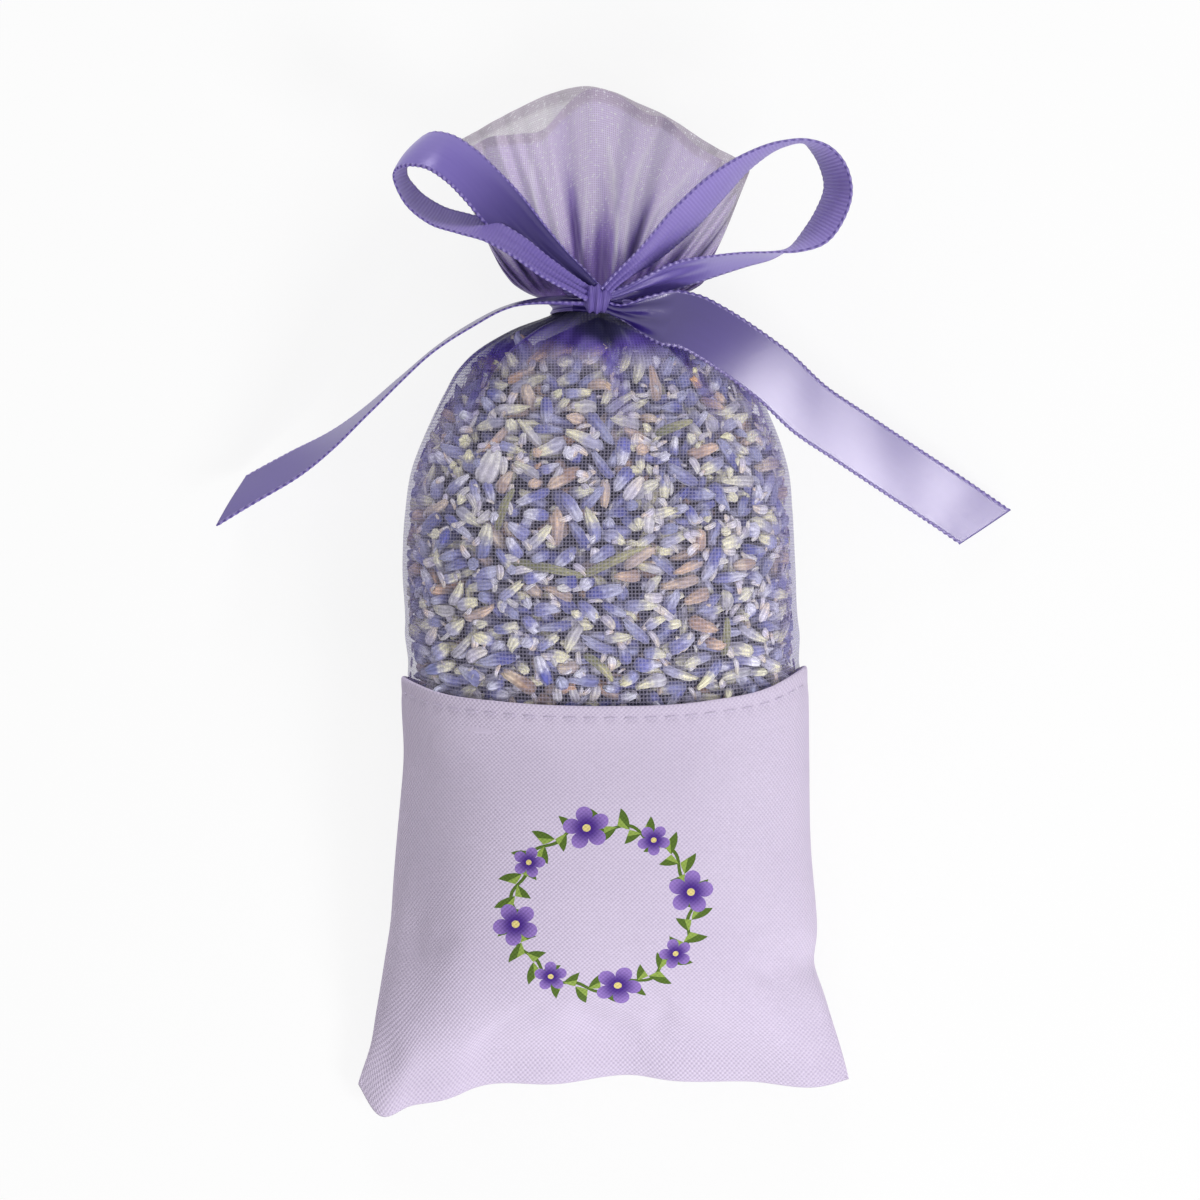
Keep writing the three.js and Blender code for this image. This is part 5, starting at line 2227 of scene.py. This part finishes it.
@dataclass
class SeamThreads:
    """Sewing thread in the side and bottom seams."""

    form: BagForm
    diameter: float = 0.4 * MM
    pitch: float = 2.6 * MM
    length: float = 2.0 * MM
    inset: float = 1.3 * MM
    bottom_rise: float = 4.0 * MM
    side_rise: float = 6.0 * MM
    bottom_reach: float = 0.4
    marks: int = 80

    def _row(self, route: Array) -> BMesh:
        """Lays stitches along a route.

        Args:
            route: Points of the route.

        Returns:
            The stitches.
        """
        bm = bmesh.new()
        for ends in stitch_ends(route, 0.0, self.length, self.pitch):
            add_pill(bm, *ends, self.diameter)
        return bm

    def build(self) -> list[Object]:
        """Makes the seams' threads.

        Returns:
            The new pieces.
        """
        thread = ThreadFinish().material()
        levels = np.linspace(self.form.bottom + self.side_rise, self.form.shoulder, self.marks)
        sides = np.linspace(-self.bottom_reach, self.bottom_reach, self.marks)
        low = np.full(self.marks, self.form.bottom + self.bottom_rise)
        routes = {
            "side_seam_left": self.form.point(np.full(self.marks, -0.5), levels, self.inset),
            "side_seam_right": self.form.point(np.full(self.marks, 0.5), levels, self.inset),
            "bottom_seam": self.form.point(sides, low, self.inset),
        }
        pieces = []
        for node, route in routes.items():
            if node == "bottom_seam":
                route[:, 2] = self.form.seam(route[:, 1])
            piece = make_piece(f"{node}_thread", self._row(route), Slot.THREAD, thread)
            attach(piece, Body.BAG.value)
            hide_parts(node)
            pieces.append(piece)
        return pieces


@dataclass
class Studio:
    """The pale table, the soft light and the camera."""

    look_at: Triple = (-0.5 * MM, 38.8 * MM, 12.0 * MM)
    frame_width: float = 208.7 * MM
    distance: float = 1.5
    tilt: float = math.radians(1.5)
    sensor: float = 36.0
    floor_size: float = 3.0
    horizon: float = 0.16
    zenith: float = 0.62
    floor_drop: float = 0.05 * MM
    floor_glow: float = 0.86
    lamps: tuple[tuple[str, Triple, float, float], ...] = (
        ("key_softbox", (0.48, -0.38, 0.58), 0.3, 3.4),
        ("fill_softbox", (-0.05, 0.95, 0.30), 0.3, 3.2),
        ("front_softbox", (0.15, -0.85, 0.26), 0.5, 1.9),
    )

    def _lamp(self, name: str, place: Triple, size: float, power: float) -> None:
        """Adds a soft square lamp that faces the bag.

        Args:
            name: Its name.
            place: Where it hangs.
            size: Its side.
            power: Its power in watts.
        """
        light = bpy.data.lights.new(name, "AREA")
        light.shape = "SQUARE"
        light.size = size
        light.energy = power
        lamp = bpy.data.objects.new(name, light)
        lamp.location = place
        toward = Vector(self.look_at) - lamp.location
        lamp.rotation_euler = toward.to_track_quat("-Z", "Y").to_euler()
        bpy.context.collection.objects.link(lamp)

    def _sky(self) -> World:
        """Makes a white dome, brighter overhead than at the horizon.

        Returns:
            The world.
        """
        world = bpy.data.worlds.new("studio")
        world.use_nodes = True
        nodes, links = world.node_tree.nodes, world.node_tree.links
        nodes["Background"].inputs["Color"].default_value = (1.0, 1.0, 1.0, 1.0)
        split = nodes.new("ShaderNodeSeparateXYZ")
        rise = nodes.new("ShaderNodeMapRange")
        rise.inputs["To Min"].default_value = self.horizon
        rise.inputs["To Max"].default_value = self.zenith
        links.new(nodes.new("ShaderNodeTexCoord").outputs["Generated"], split.inputs[0])
        links.new(split.outputs["Z"], rise.inputs["Value"])
        links.new(rise.outputs[0], nodes["Background"].inputs["Strength"])
        return world

    def _floor_finish(self) -> Material:
        """Makes a pale floor that the camera sees as near white, with a soft shadow.

        Returns:
            The material.
        """
        bench = ShaderBench("pale_table")
        grain = bench.noise(bench.own_place(), 40.0)
        bench.set(Base_Color=bench.mix(grain, srgb(246, 246, 246), srgb(250, 250, 250)), Roughness=0.9)
        glow = bench.add("ShaderNodeEmission")
        rays = bench.add("ShaderNodeLightPath").outputs
        seen = bench.math("MAXIMUM", rays["Is Camera Ray"], rays["Is Glossy Ray"])
        seen = bench.math("MAXIMUM", seen, rays["Is Transmission Ray"])
        share = bench.times(seen, self.floor_glow)
        blend = bench.add("ShaderNodeMixShader")
        bench.join(blend.inputs[0], share)
        bench.join(blend.inputs[1], bench.shader.outputs[0])
        bench.join(blend.inputs[2], glow.outputs[0])
        bench.join(bench.tree.nodes["Material Output"].inputs["Surface"], blend.outputs[0])
        return bench.material

    def build(self) -> None:
        """Sets up the floor, the light, the world and the camera."""
        scene = bpy.context.scene
        bm = bmesh.new()
        bmesh.ops.create_grid(bm, x_segments=1, y_segments=1, size=self.floor_size / 2)
        mesh = bpy.data.meshes.new("table")
        bm.to_mesh(mesh)
        bm.free()
        mesh.materials.append(self._floor_finish())
        mesh.transform(Matrix.Translation((0.0, 0.0, -self.floor_drop)))
        table = bpy.data.objects.new("table", mesh)
        bpy.context.collection.objects.link(table)
        for lamp in self.lamps:
            self._lamp(*lamp)
        scene.world = self._sky()
        lens = bpy.data.cameras.new("camera")
        lens.sensor_width = self.sensor
        lens.lens = self.sensor * self.distance / self.frame_width
        lens.clip_start = 0.01
        camera = bpy.data.objects.new("camera", lens)
        back = Vector((0.0, math.sin(self.tilt), math.cos(self.tilt)))
        camera.location = Vector(self.look_at) + back * self.distance
        camera.rotation_euler = (-self.tilt, 0.0, 0.0)
        bpy.context.collection.objects.link(camera)
        scene.camera = camera
        scene.view_settings.view_transform = "Standard"


def main() -> None:
    """Builds the sachet piece by piece and reports each one."""
    logging.basicConfig(level=logging.INFO, format="%(name)s: %(message)s")
    Studio().build()
    form = BagForm()
    for maker in (CottonPouch, SeamThreads, Lavender, OrganzaTop, Frill, RibbonBow):
        for piece in maker(form).build():
            log.info("%s: %d faces", piece.name, len(piece.data.polygons))


if __name__ == "__main__":
    main()
